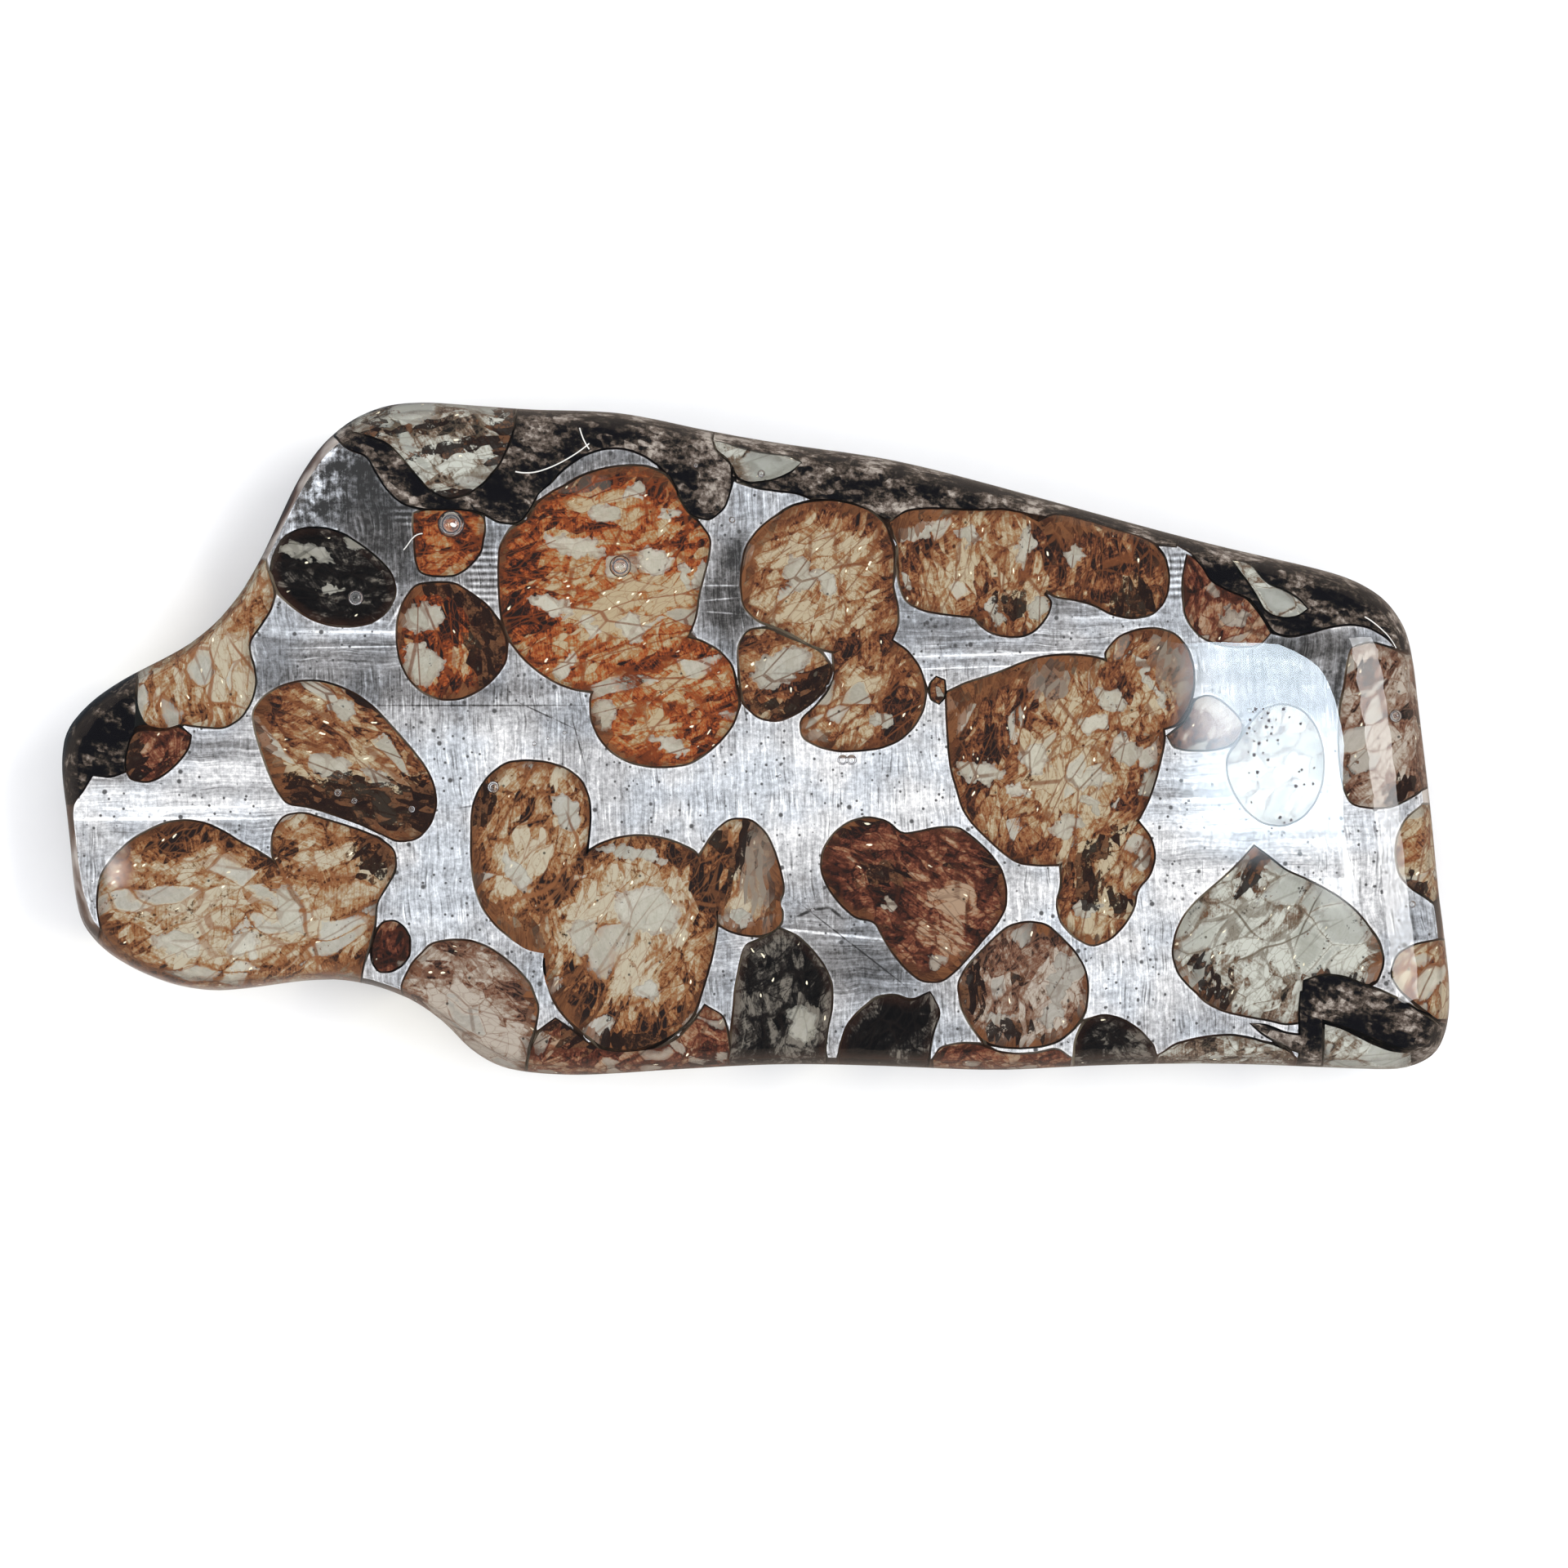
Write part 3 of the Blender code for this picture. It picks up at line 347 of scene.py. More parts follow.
soft_light("key", (330, 60, 330), (330, 160), 1.15)
faded(soft_light("left_lamp", (-330, -90, 330), (120, 240), 0.8),
      ("X", 0.0, 0.5), ("X", 1.0, 0.5), ("Y", 0.0, 0.5), ("Y", 1.0, 0.5))
window_pane("window", (35.4, 0.2), (13.2, 17), 17, (0.74, 0.88, 1.0),
            ("X", 0.0, 0.35), ("Y", 0.0, 0.3), turn=-1)
window_pane("window_bar", (40.1, 3.6), (0.35, 10), 5, (0.9, 0.96, 1.0), ("Y", 0.0, 0.3), turn=-2)
window_pane("window_foot", (40.6, -7.4), (3.6, 10), 11, (0.9, 0.96, 1.0),
            ("X", 0.0, 0.8), ("Y", 0.0, 0.4), ("Y", 1.0, 0.5), turn=12)

# The iron-nickel metal. It is one casting of nature's, ground flat and polished, so it shows the grinder's
# fine lines and small pits, while its walls towards the crystals are dark with oxide.
METAL_TONES = [
    (0.0, (0.03, 0.029, 0.028)), (0.2, (0.10, 0.097, 0.097)), (0.45, (0.25, 0.25, 0.257)),
    (0.65, (0.46, 0.468, 0.485)), (0.85, (0.72, 0.73, 0.75)), (1.0, (1.0, 1.0, 1.0))]
OXIDE_TONES = [(0.35, (0.015, 0.010, 0.008)), (0.5, (0.09, 0.04, 0.022)), (0.62, (0.45, 0.40, 0.36))]
PIT_DARK = (0.02, 0.018, 0.018)

metal = Finish("iron_nickel")
wobble = metal.noise(metal.place, 0.5, 2.0, out="Color")
swayed = metal.vector("MULTIPLY_ADD", wobble, (0.5, 0.5, 0), metal.place)


def brushed(turn, width, length):
    """Ground lines of a width and length in mm that run along turn degrees."""
    fine = metal.noise(metal.laid((length, width, 1.0), turn, swayed), 1.0, 3.0, 0.6)
    broad = metal.noise(metal.laid((length * 3, width * 4, 1.0), turn, swayed), 1.0, 2.0, 0.55)
    return fine * 0.62 + broad * 0.38


upright = brushed(92, 0.06, 1.2)
level = brushed(0, 0.08, 4.0)
sideways = metal.spots([
    (-20, -1.5, 5.5, 3, 0), (10, 4.2, 5, 1.8, 3), (18, -2.4, 4, 3, 0), (-14, 3.4, 4, 0.9, 0),
    (2, -8, 4, 1.8, -5),
], soft=0.4)
lines = metal.node("Mix", {"data_type": "FLOAT"}, {0: sideways * 0.85 + 0.05, 2: upright, 3: level})
scores = []
for turn, width, length in ((93, 0.09, 1.1), (2, 0.07, 1.8)):
    score = metal.cells(metal.laid((length, width, 1.0), turn, swayed))
    strength = score.chance()
    scores.append(score.above(0.5, 0.2) * (strength - 0.55))
bands = metal.noise(metal.laid((9.0, 0.6, 1.0), 1, swayed), 1.0, 3.0, 0.6)
cloud = metal.noise(metal.place, 0.3, 3.0)
speckle = metal.noise(metal.place, 5.5, 3.0, 0.75)
# Brighter patches and strips of the metal, a painted reflection of the lamps in the polished face.
reflection_patches = metal.spots([
    (4, -2.0, 9.5, 2.6, 2), (16.5, -4.5, 6, 4, 0), (12.5, -7.5, 4, 3, 0), (-22.0, -2.7, 4.5, 0.7, 0),
    (-10.3, -1.0, 2.5, 1.6, 0), (-14.5, 3.75, 3.0, 0.25, 0), (-11.5, -5.5, 1.6, 2.4, 0),
    (19.5, -4.2, 3, 1.4, -20), (21.7, -4.1, 1.6, 2.6, 0), (-20.0, -1.3, 2.0, 0.4, 0),
], soft=0.5)
# Greyer patches of the metal: partly patina, partly painted shade where the metal mirrors less light.
patina_and_shade_patches = metal.spots([
    (-13, 8.5, 5, 4.5, -50), (-15, 2.4, 4.5, 1.3, 0), (-0.9, 5.2, 1.2, 2.4, 0), (10, 5.4, 5, 1.0, 10),
    (3.5, -7.5, 3.2, 1.8, -8), (-13.5, 1.8, 5.0, 0.6, 0),
    (-14.5, 2.8, 3.5, 1.2, 0), (19.4, 2.0, 2.8, 1.7, 0),
], soft=0.5)
black = metal.spots([
    (-13.6, 9.2, 3.5, 2.2, -50), (-0.9, 5.0, 1.0, 1.2, 0), (-5.8, 9.9, 2.8, 1.2, -5),
    (-0.6, 6.6, 0.7, 0.8, 0), (21.7, 1.6, 0.5, 2.2, 0), (20.5, 3.4, 2.2, 0.5, -5),
    (-5.8, 10.2, 2.6, 0.8, -5),
], soft=0.5)
tone = (lines - 0.5) + scores[0] * (0.5 - sideways * 0.3) + scores[1] * (0.1 + sideways * 0.3)
tone = tone + (cloud - 0.5) * 0.35 + (speckle - 0.5) * 0.85 + (bands - 0.5) * (0.35 + sideways * 0.6)
# Thin bright and dark lines along steps in the polished relief: painted highlights and painted shade.
highlight_lines = metal.spots([
    (-22, -2.95, 3.4, 0.06, 0), (-21, -2.55, 2.2, 0.04, 1), (-14.9, 4.35, 1.3, 0.07, -3),
    (-13.2, 4.55, 0.5, 0.05, 60), (-14.5, 3.9, 2.4, 0.04, 0), (-14.2, 3.35, 2.8, 0.03, 1),
    (9.3, 3.1, 3.2, 0.04, 2), (8.0, 2.6, 2.4, 0.03, 2), (-1.2, 5.6, 0.7, 0.03, 0),
    (-1.25, 5.1, 0.6, 0.03, 5), (-1.2, 4.6, 0.7, 0.03, -4), (-15.45, 10.45, 0.3, 0.22, 0),
    (-15.9, 9.2, 0.28, 0.55, -15), (2.9, -7.2, 2.6, 0.05, -6), (14.6, 5.9, 0.12, 0.9, 0),
], soft=0.6)
crease_shade_lines = metal.spots([
    (-10.3, 1.2, 3.6, 0.03, 0), (-7.7, 0.85, 1.1, 0.025, -25), (-6.5, -0.1, 0.7, 0.025, -75),
    (1.85, -6.4, 0.38, 0.05, 25), (2.45, -6.25, 0.28, 0.05, 8), (2.95, -6.4, 0.3, 0.05, -40),
    (3.6, -7.6, 2.2, 0.025, -38), (-10.2, -2.45, 0.6, 0.04, 10), (-16.5, 10.0, 0.3, 0.12, 40),
    (-16.0, 8.3, 0.35, 0.1, -50), (-12.9, -3.3, 0.5, 0.04, 10), (5.9, -6.9, 1.4, 0.03, -52),
], soft=0.6)
rough = metal.noise(metal.place, 2.2, 4.0, 0.7)
combed = metal.spots([
    (-9.9, 6.0, 0.7, 1.2, 0), (15.6, 5.8, 0.7, 0.9, 0), (-12.3, 8.2, 1.0, 0.5, 0)], soft=0.3)
comb = metal.node("TexWave", {"bands_direction": "Y"}, {
    "Vector": metal.place, "Scale": 1.3, "Distortion": 0.6}, "Fac")
corner = metal.spots([(-15.8, 9.6, 1.3, 2.4, -25)], soft=0.6)
tone = tone + reflection_patches * 0.18 - patina_and_shade_patches * 0.2 - black * 0.28 + 0.565
# Painted highlight: the metal is made brighter along its edges next to the crystals, as on rounded rims.
tone = tone + metal.near_edge(0.16) * rough.above(0.35, 0.6) * 0.5
tone = tone + (highlight_lines - crease_shade_lines) * 0.45 * rough.above(0.3, 0.5) + combed * (comb - 0.5) * 0.5
tone = tone + corner * (rough - 0.48) * 3.0
pits = None
for scale, reach, share in ((1.9, 0.12, 0.5), (3.7, 0.07, 0.4)):
    cells = metal.cells(metal.place, scale)
    chance = cells.chance()
    crowd = metal.noise(metal.place, 0.5 * scale / 1.9, 1.0).above(0.42, 0.62)
    found = (chance + crowd * 0.45).above(share + 0.38, share + 0.4)
    found = (cells * (1 / scale)).above(reach, reach * 0.5) * found
    pits = found | pits if pits else found
true_up = metal.node("SeparateXYZ", {}, {0: metal.node("NewGeometry", out="True Normal")}).out("Z")
walls = true_up.above(0.5, 0.4)
colour = metal.node("ValToRGB", {"stops": METAL_TONES}, {"Fac": tone})
colour = metal.node("Mix", {"data_type": "RGBA", "blend_type": "MULTIPLY"}, {
    0: 1.0, 6: colour, 7: metal.mixed(cloud.above(0.4, 0.6), (0.96, 0.98, 1.0), (1.0, 0.97, 0.94))}, 2)
colour = metal.mixed(pits * 0.95, colour, PIT_DARK)
oxide = metal.node("ValToRGB", {"stops": OXIDE_TONES}, {"Fac": metal.noise(metal.place, 0.4, 3.0)})
colour = metal.mixed(walls, colour, oxide)
bump = metal.node("Bump", {}, {
    "Strength": 0.3, "Distance": 0.02 * MM, "Height": lines + scores[0] - pits * 2.0})
metal_shader = metal.node("BsdfPrincipled", {}, {
    "Base Color": colour, "Metallic": (1 - (pits | walls)) * 0.75, "Roughness": 0.6, "Normal": bump})
metal_finish = metal.end(metal_shader)

# In the real slice metal, rind and crystals are grown together along smooth curves. So each is shown by a
# copy of its CAD solid with its upright corners rounded, which swells until a hair of a seam is left.
SLICE_BOTTOM = 0.7
SLICE_TOP = 3.2
SEAM_SWELL = 0.05
UPRIGHT = 0.3
CORNER_TURNS = (4, 60)
CORNER_PERCENT = 32
CORNER_STEPS = 3
FLAT_TURN = 0.5
SMOOTH_TURN = 30
MERGE_REACH = 1e-6


def grown(name, finish):
    """Shows a CAD node by a copy of it with rounded corners, in a finish."""
    bpy.ops.object.select_all(action="DESELECT")
    piece = nodes[name].copy()
    piece.data = nodes[name].data.copy()
    piece.name = name + "_grown"
    piece.parent = None
    bpy.context.scene.collection.objects.link(piece)
    piece.select_set(True)
    bpy.context.view_layer.objects.active = piece
    bpy.ops.object.mode_set(mode="EDIT")
    bpy.ops.mesh.select_mode(type="EDGE")
    bpy.ops.mesh.select_all(action="SELECT")
    bpy.ops.mesh.remove_doubles(threshold=MERGE_REACH)
    bpy.ops.mesh.customdata_custom_splitnormals_clear()
    bpy.ops.mesh.dissolve_limited(angle_limit=math.radians(FLAT_TURN))
    bpy.ops.mesh.select_all(action="DESELECT")
    bpy.ops.object.mode_set(mode="OBJECT")
    sides = {}
    for polygon in piece.data.polygons:
        for key in polygon.edge_keys:
            sides.setdefault(key, []).append(polygon.normal)
    for edge in piece.data.edges:
        first, second = (piece.data.vertices[index].co for index in edge.vertices)
        turn = math.degrees(sides[edge.key][0].angle(sides[edge.key][-1]))
        edge.select = abs(first.z - second.z) > UPRIGHT * MM and CORNER_TURNS[0] < turn < CORNER_TURNS[1]
    bpy.ops.object.mode_set(mode="EDIT")
    bpy.ops.mesh.bevel(
        offset_type="PERCENT", offset_pct=CORNER_PERCENT, segments=CORNER_STEPS, affect="EDGES")
    bpy.ops.mesh.select_all(action="SELECT")
    bpy.ops.transform.shrink_fatten(value=SEAM_SWELL * MM)
    bpy.ops.object.mode_set(mode="OBJECT")
    lowest = (SLICE_BOTTOM - SEAM_SWELL) * MM
    highest = (SLICE_TOP + SEAM_SWELL) * MM
    for vertex in piece.data.vertices:
        vertex.co.z = min(max(vertex.co.z, lowest), highest)
    bpy.ops.object.shade_smooth_by_angle(angle=math.radians(SMOOTH_TURN))
    piece.data.materials.clear()
    piece.data.materials.append(finish)
    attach(piece, "root")
    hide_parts(name)


grown("iron_nickel_network", metal_finish)

# The weathered rind and seam, where water turned the metal's natural edge to black iron oxide. Grey-brown
# patches and flecks of metal are left in it. It is one mass with the metal, cut and polished with it.
RIND_TONES = [
    (0.40, (0.003, 0.003, 0.004)), (0.52, (0.010, 0.009, 0.008)), (0.62, (0.04, 0.03, 0.023)),
    (0.75, (0.11, 0.085, 0.07)), (0.95, (0.33, 0.29, 0.25))]
rind = Finish("weathered_rind")
patch = rind.noise(rind.laid((1.6, 0.8, 1.0), -12), 0.9, 5.0, 0.65)
grain_tone = rind.cells(rind.laid((0.4, 0.2, 0.3), -15)).chance()
fleck = rind.noise(rind.place, 5.0, 3.0, 0.7)
blacker = rind.spots([(-24, 0, 2.5, 3, 0), (-9, 9, 2.5, 0.8, -10), (19, 4.6, 4, 0.6, -25)], soft=0.5)
browner = rind.spots([(-2.2, 9.3, 1.8, 1.6, 0), (3, 10.3, 6, 0.5, -8)], soft=0.5)
zones = 0.6 - blacker * 0.12 + browner * 0.08
rind_colour = rind.node("ValToRGB", {"stops": RIND_TONES}, {
    "Fac": (patch - 0.5) * 2.1 + (fleck - 0.5) * 0.8 + (grain_tone - 0.5) * 0.25 + zones - 0.03})
rind_bump = rind.node("Bump", {}, {"Strength": 0.3, "Distance": 0.03 * MM, "Height": patch + grain_tone})
rind_shader = rind.node("BsdfPrincipled", {}, {
    "Base Color": rind_colour, "Roughness": 0.5, "IOR": 1.05, "Normal": rind_bump})
rind_finish = rind.end(rind_shader)
for name in nodes:
    if name.startswith("weathered"):
        grown(name, rind_finish)

# The olivine crystals. Each is one glassy crystal shattered in place: clear shards show the table as pale
# windows, others are milky and amber, and iron rust has crept along the cracks. A palette holds the tones
# from clean to rusted, the colours of windows and veins, and how strong the needle-like cracks are.
ORANGE = {
    "tones": [
        (0.0, (0.33, 0.26, 0.16)), (0.2, (0.26, 0.165, 0.08)), (0.38, (0.26, 0.105, 0.034)),
        (0.56, (0.26, 0.055, 0.015)), (0.76, (0.085, 0.022, 0.010)), (1.0, (0.012, 0.008, 0.007))],
    "window": (0.42, 0.395, 0.315), "pale": (0.64, 0.62, 0.52), "vein": (0.15, 0.035, 0.011), "needle": 0.75}
AMBER = {
    "tones": [
        (0.0, (0.345, 0.285, 0.19)), (0.2, (0.265, 0.185, 0.105)), (0.38, (0.225, 0.12, 0.055)),
        (0.56, (0.19, 0.07, 0.028)), (0.76, (0.075, 0.026, 0.014)), (1.0, (0.012, 0.008, 0.007))],
    "window": (0.42, 0.395, 0.32), "pale": (0.62, 0.60, 0.51), "vein": (0.13, 0.045, 0.018), "needle": 0.75}
STRAW = {
    "tones": [
        (0.0, (0.36, 0.315, 0.23)), (0.22, (0.285, 0.215, 0.135)), (0.42, (0.245, 0.145, 0.07)),
        (0.6, (0.205, 0.08, 0.03)), (0.8, (0.08, 0.03, 0.014)), (1.0, (0.012, 0.008, 0.007))],
    "window": (0.41, 0.40, 0.34), "pale": (0.62, 0.61, 0.54), "vein": (0.18, 0.07, 0.028), "needle": 0.45}
MAROON = {
    "tones": [
        (0.0, (0.28, 0.19, 0.125)), (0.22, (0.22, 0.11, 0.058)), (0.45, (0.14, 0.045, 0.024)),
        (0.65, (0.075, 0.023, 0.014)), (0.82, (0.03, 0.011, 0.008)), (1.0, (0.010, 0.007, 0.006))],
    "window": (0.34, 0.28, 0.22), "pale": (0.50, 0.44, 0.36), "vein": (0.045, 0.014, 0.008), "needle": 0.6}
TAUPE = {
    "tones": [
        (0.0, (0.33, 0.285, 0.235)), (0.22, (0.25, 0.195, 0.15)), (0.42, (0.18, 0.12, 0.085)),
        (0.6, (0.14, 0.062, 0.036)), (0.78, (0.055, 0.026, 0.018)), (1.0, (0.010, 0.008, 0.007))],
    "window": (0.38, 0.35, 0.295), "pale": (0.54, 0.51, 0.45), "vein": (0.13, 0.065, 0.04), "needle": 0.5}
GREEN = {
    "tones": [
        (0.0, (0.41, 0.41, 0.36)), (0.25, (0.32, 0.315, 0.27)), (0.45, (0.21, 0.185, 0.15)),
        (0.62, (0.14, 0.09, 0.06)), (0.8, (0.05, 0.035, 0.026)), (1.0, (0.010, 0.009, 0.008))],
    "window": (0.40, 0.405, 0.35), "pale": (0.53, 0.54, 0.49), "vein": (0.10, 0.075, 0.05), "needle": 0.3}
BLACK = {
    "tones": [
        (0.0, (0.13, 0.115, 0.095)), (0.3, (0.032, 0.028, 0.024)), (0.55, (0.006, 0.0055, 0.005)),
        (1.0, (0.002, 0.002, 0.002))],
    "window": (0.40, 0.38, 0.31), "pale": (0.50, 0.48, 0.42), "vein": (0.008, 0.006, 0.005), "needle": 0.5}
# Colours of the painted shade inside each crystal's edge, where its walls slope away under it.
RIM_SHADE = (0.035, 0.014, 0.008)
RIM_SHADE_BROWN = (0.15, 0.06, 0.025)
DEEP = (0.010, 0.006, 0.005)
CRUMB = (0.10, 0.045, 0.022)
GREY = (0.17, 0.14, 0.11)
# The colour of the painted sparkles of the shards' facets, and of a painted highlight under a bubble.
SPARKLE_HIGHLIGHT = (0.95, 0.85, 0.62)
PAINTED_HIGHLIGHT = (1.0, 0.98, 0.93)
CLEARNESS = 0.4
SHARD_HEIGHT = 1.6
CHIP_SIZE = (0.5, 0.2, 0.5)


def olivine(name, turn=20.0, shape=(1.4, 0.8), clear=0.3, rust=0.35, lobes=(), windows=(), rusts=(),
            pales=(), darks=(), cracks=(), greys=(), painted_highlights=(), depth=0.9, hues=AMBER):
    """Dresses one crystal. Its shards lie along turn degrees, clear is the share of them that are windows,
    and rust is how far it has rusted. Lobes are the clear bodies inside its rim: paler in their middles,
    with painted shade of the sloping walls outside them, and depth is how dark that painted shade is."""
    stone = Finish(name)
    bent = stone.warped(stone.place, 0.5, 1.2)
    size = (*shape, SHARD_HEIGHT)
    inside = stone.laid(size, turn, bent)
    shards = stone.cells(inside)
    edges = stone.cells(inside, feature="DISTANCE_TO_EDGE")
    middle = stone.node("Mapping", {"vector_type": "POINT"}, {
        "Vector": shards.out("Position"), "Rotation": (0, 0, math.radians(turn)), "Scale": size})
    chance = shards.chance()
    kind = chance
    for marks, pull in ((rusts, -0.6), (darks, -4.0)):
        if marks:
            kind = kind + stone.spots(marks, middle, 0.1) * pull
    window = kind.above(1 - clear - 0.01, 1 - clear)

    chip_turn = turn + 28
    chip_place = stone.laid(CHIP_SIZE, chip_turn, bent)
    chips = stone.cells(chip_place)
    chip_edges = stone.cells(chip_place, feature="DISTANCE_TO_EDGE")
    chip_middle = stone.node("Mapping", {"vector_type": "POINT"}, {
        "Vector": chips.out("Position"), "Rotation": (0, 0, math.radians(chip_turn)), "Scale": CHIP_SIZE})
    crumb = chips.chance()
    unbent = stone.vector("ADD", chip_middle, stone.vector("SUBTRACT", stone.place, bent))
    sway = stone.node("Mix", {"data_type": "VECTOR"}, {0: 0.25, 4: stone.place, 5: bent}, 1)
    panes, rings = stone.panes(windows, stone.warped(sway, 2.2, 0.9, 2.0))

    haze = stone.noise(stone.laid((1.9, 1.0, 1.4), turn, chip_middle), 0.75, 3.0, 0.6)
    grit = stone.noise(stone.place, 6.0, 3.0, 0.75)
    lie = stone.node("VectorRotate", {"rotation_type": "Z_AXIS"}, {
        "Vector": stone.place, "Angle": chance.out("Blue") * 1.6 + math.radians(turn)})
    hatch = stone.noise(stone.laid((0.9, 0.07, 0.3), 0, lie), 1.0, 2.0, 0.6)
    bed = stone.noise(stone.place, 1.1, 2.0)
    stain = (edges / (bed.above(0.38, 0.72) * 0.42 + 0.02)).above(1.0, 0.25)
    warmth = (haze - 0.5) * 2.5 + (chance.out("Green") - 0.5) * 0.4 + (crumb - 0.5) * 0.5
    warmth = warmth + (grit - 0.5) * 1.4 + (hatch - 0.5) * 0.9 + stain * 0.3 + (rust - 0.08)
    if rusts:
        warmth = warmth + stone.spots(rusts, chip_middle, 0.45) * 0.35
    if pales:
        warmth = warmth - stone.spots(pales, chip_middle, 0.45) * 0.3
    # Paler towards the middles of the lobes, the other side of the painted rim shade.
    if lobes:
        warmth = warmth - (stone.spots(lobes, stone.place, 0.95) - 0.78) * 0.7
    colour = stone.node("ValToRGB", {"stops": hues["tones"]}, {"Fac": warmth})
    colour = stone.mixed(chip_edges.above(0.08, 0.02) * (haze * 0.6 - panes), colour, hues["vein"])
    paleness = crumb.out("Red") * 0.5 + chance.out("Blue") * 0.5 + (grit - 0.5) * 1.5 + (hatch - 0.5)
    clear_colour = stone.mixed(paleness, hues["window"], hues["pale"])
    clear_colour = stone.mixed(rings * (0.35 + (grit - 0.5) * 2), clear_colour, hues["vein"])
    ragged = (edges + (grit - 0.5) * 0.25 + (hatch - 0.5) * 0.2).above(0.02, 0.09)
    window = window * ragged * (1 - stain * 0.5) | panes
    colour = stone.mixed(window * 0.85, colour, clear_colour)

    width = bed.above(0.42, 0.72) * 0.07
    vein = 1 - (edges / (width + 0.012)).above(0.5, 1.1)
    colour = stone.mixed(vein * (bed - panes * 0.3), colour, hues["vein"])
    needles = stone.cells(stone.laid((3.2, 0.9, 2.0), turn + 12), feature="DISTANCE_TO_EDGE")
    needle = needles.above(0.035, 0.012) * haze.out("Color").above(0.35, 0.5)
    colour = stone.mixed(needle * hues["needle"], colour, hues["vein"])
    if cracks:
        colour = stone.mixed(stone.spots(cracks, bent, 0.5) * 0.85, colour, hues["vein"])
    specks = stone.cells(stone.place, 2.6)
    speck = specks.chance().above(0.8, 0.82) * specks.above(0.17, 0.09)
    colour = stone.mixed(speck * 0.8, colour, DEEP)
    # Painted highlights: small bright specks standing in for light glinting off the shards' facets.
    sparkle_highlight = crumb.out("Green").above(0.87, 0.88) * (chips + (grit - 0.5) * 0.4).above(0.2, 0.1)
    colour = stone.mixed(sparkle_highlight, colour, SPARKLE_HIGHLIGHT)
    if greys:
        colour = stone.mixed(stone.spots(greys, unbent, 0.15) * (1.0 - crumb * 0.6), colour, GREY)
    # A dark border inside the crystal's edges: painted shade of its sloping walls.
    colour = stone.mixed(stone.near_edge(0.5) * (bed * 2.2 - 0.4), colour, RIM_SHADE)
    shadow = None
    # Outside the lobes the colour is painted dark, shade of the sloping walls seen through the crystal.
    if lobes:
        shadow = (1 - stone.spots(lobes, unbent, 0.08)) * depth
        rim_shade_tone = stone.mixed((crumb * 0.6 + hatch * 0.9).above(0.4, 1.0), RIM_SHADE, RIM_SHADE_BROWN)
        colour = stone.mixed(shadow, colour, rim_shade_tone)
    # Darks are black rubble with brown crumbs, and at some crystals a dark crescent, painted shade of a
    # sloping wall.
    if darks:
        rubble_and_wall_shade = stone.spots(darks, unbent, 0.5) + (grit - 0.5) * 1.6 + (crumb - 0.5) * 0.7
        rubble_and_wall_shade = (rubble_and_wall_shade + (hatch - 0.5) * 0.5).above(0.35, 0.6)
        crumbs = stone.mixed((crumb.out("Blue") + (grit - 0.5) * 2).above(0.6, 1.1), DEEP, CRUMB)
        colour = stone.mixed(rubble_and_wall_shade * 0.95, colour, crumbs)
        shadow = rubble_and_wall_shade | (shadow or 0.0)
    # A painted highlight: a white spot under a bubble, standing in for the lamp that the bubble mirrors.
    if painted_highlights:
        colour = stone.mixed(stone.spots(painted_highlights), colour, PAINTED_HIGHLIGHT)

    tilt = stone.vector("SUBTRACT", shards.out("Color"), (0.5, 0.5, 0.5))
    reach = stone.vector("SUBTRACT", inside, shards.out("Position"))
    facet = stone.vector("DOT_PRODUCT", tilt, reach, out="Value")
    bump = stone.node("Bump", {}, {"Strength": 0.4, "Distance": 0.2 * MM, "Height": facet + crumb * 0.15})
    milky = stone.node("BsdfPrincipled", {}, {
        "Base Color": colour, "Roughness": 0.3, "IOR": 1.1, "Normal": bump})
    glassy = stone.node("BsdfPrincipled", {}, {
        "Base Color": (0.96, 0.93, 0.80, 1), "Roughness": 0.0, "IOR": 1.1, "Transmission Weight": 1.0})
    clearness = window * CLEARNESS
    if shadow:
        clearness = clearness * (1 - shadow)
    surface = stone.node("MixShader", {}, {0: clearness, 1: milky, 2: glassy})
    lamp_ray = stone.node("LightPath", out="Is Shadow Ray")
    passing = stone.node("BsdfTransparent", {}, {0: (0.9, 0.86, 0.75, 1)})
    surface = stone.node("MixShader", {}, {0: lamp_ray, 1: surface, 2: passing})
    grown(name, stone.end(surface))


# The crystals of the left end. The three big ones are clear straw and amber, the small ones dark and
# rusted, and the thin ones at the rim are milky. All were cut through with the metal round them.
olivine("olivine_black_left", -15, (1.2, 0.5), 0.0, 0.7, hues=BLACK, pales=[(-14.9, 5.0, 0.8, 0.5, 0)],
        windows=[(-16.3, 6.75, 0.9, 0.24, -8), (-15.45, 5.45, 0.42, 0.1, 5)])
olivine("olivine_tan_rim_left", 70, (1.1, 0.8), 0.1, 0.35, pales=[(-19, 2, 1.6, 1.8, 40)], hues=STRAW,
        cracks=[(-20.0, 1.7, 1.5, 0.07, 80), (-18.5, 2.8, 0.9, 0.05, -55), (-19.3, 1.2, 0.7, 0.05, -15)])
olivine("olivine_brown_rim_left", 10, (1.2, 0.5), 0.05, 0.5, hues=MAROON,
        darks=[(-22.9, -0.7, 0.6, 1.2, 0)])
olivine("olivine_tan_long", -42, (1.9, 0.5), 0.14, 0.42, [(-14.9, -0.5, 3.7, 2.1, -42)], hues=AMBER,
        windows=[(-15.1, 1.1, 0.5, 0.35, -42), (-15.6, -1.0, 0.85, 0.4, -10), (-13.8, -1.45, 0.6, 0.2, -25)],
        darks=[(-14.2, -2.4, 2.9, 0.95, -8), (-12.3, -2.4, 0.8, 1.2, 0), (-14.2, 1.3, 2.0, 0.16, -38)])
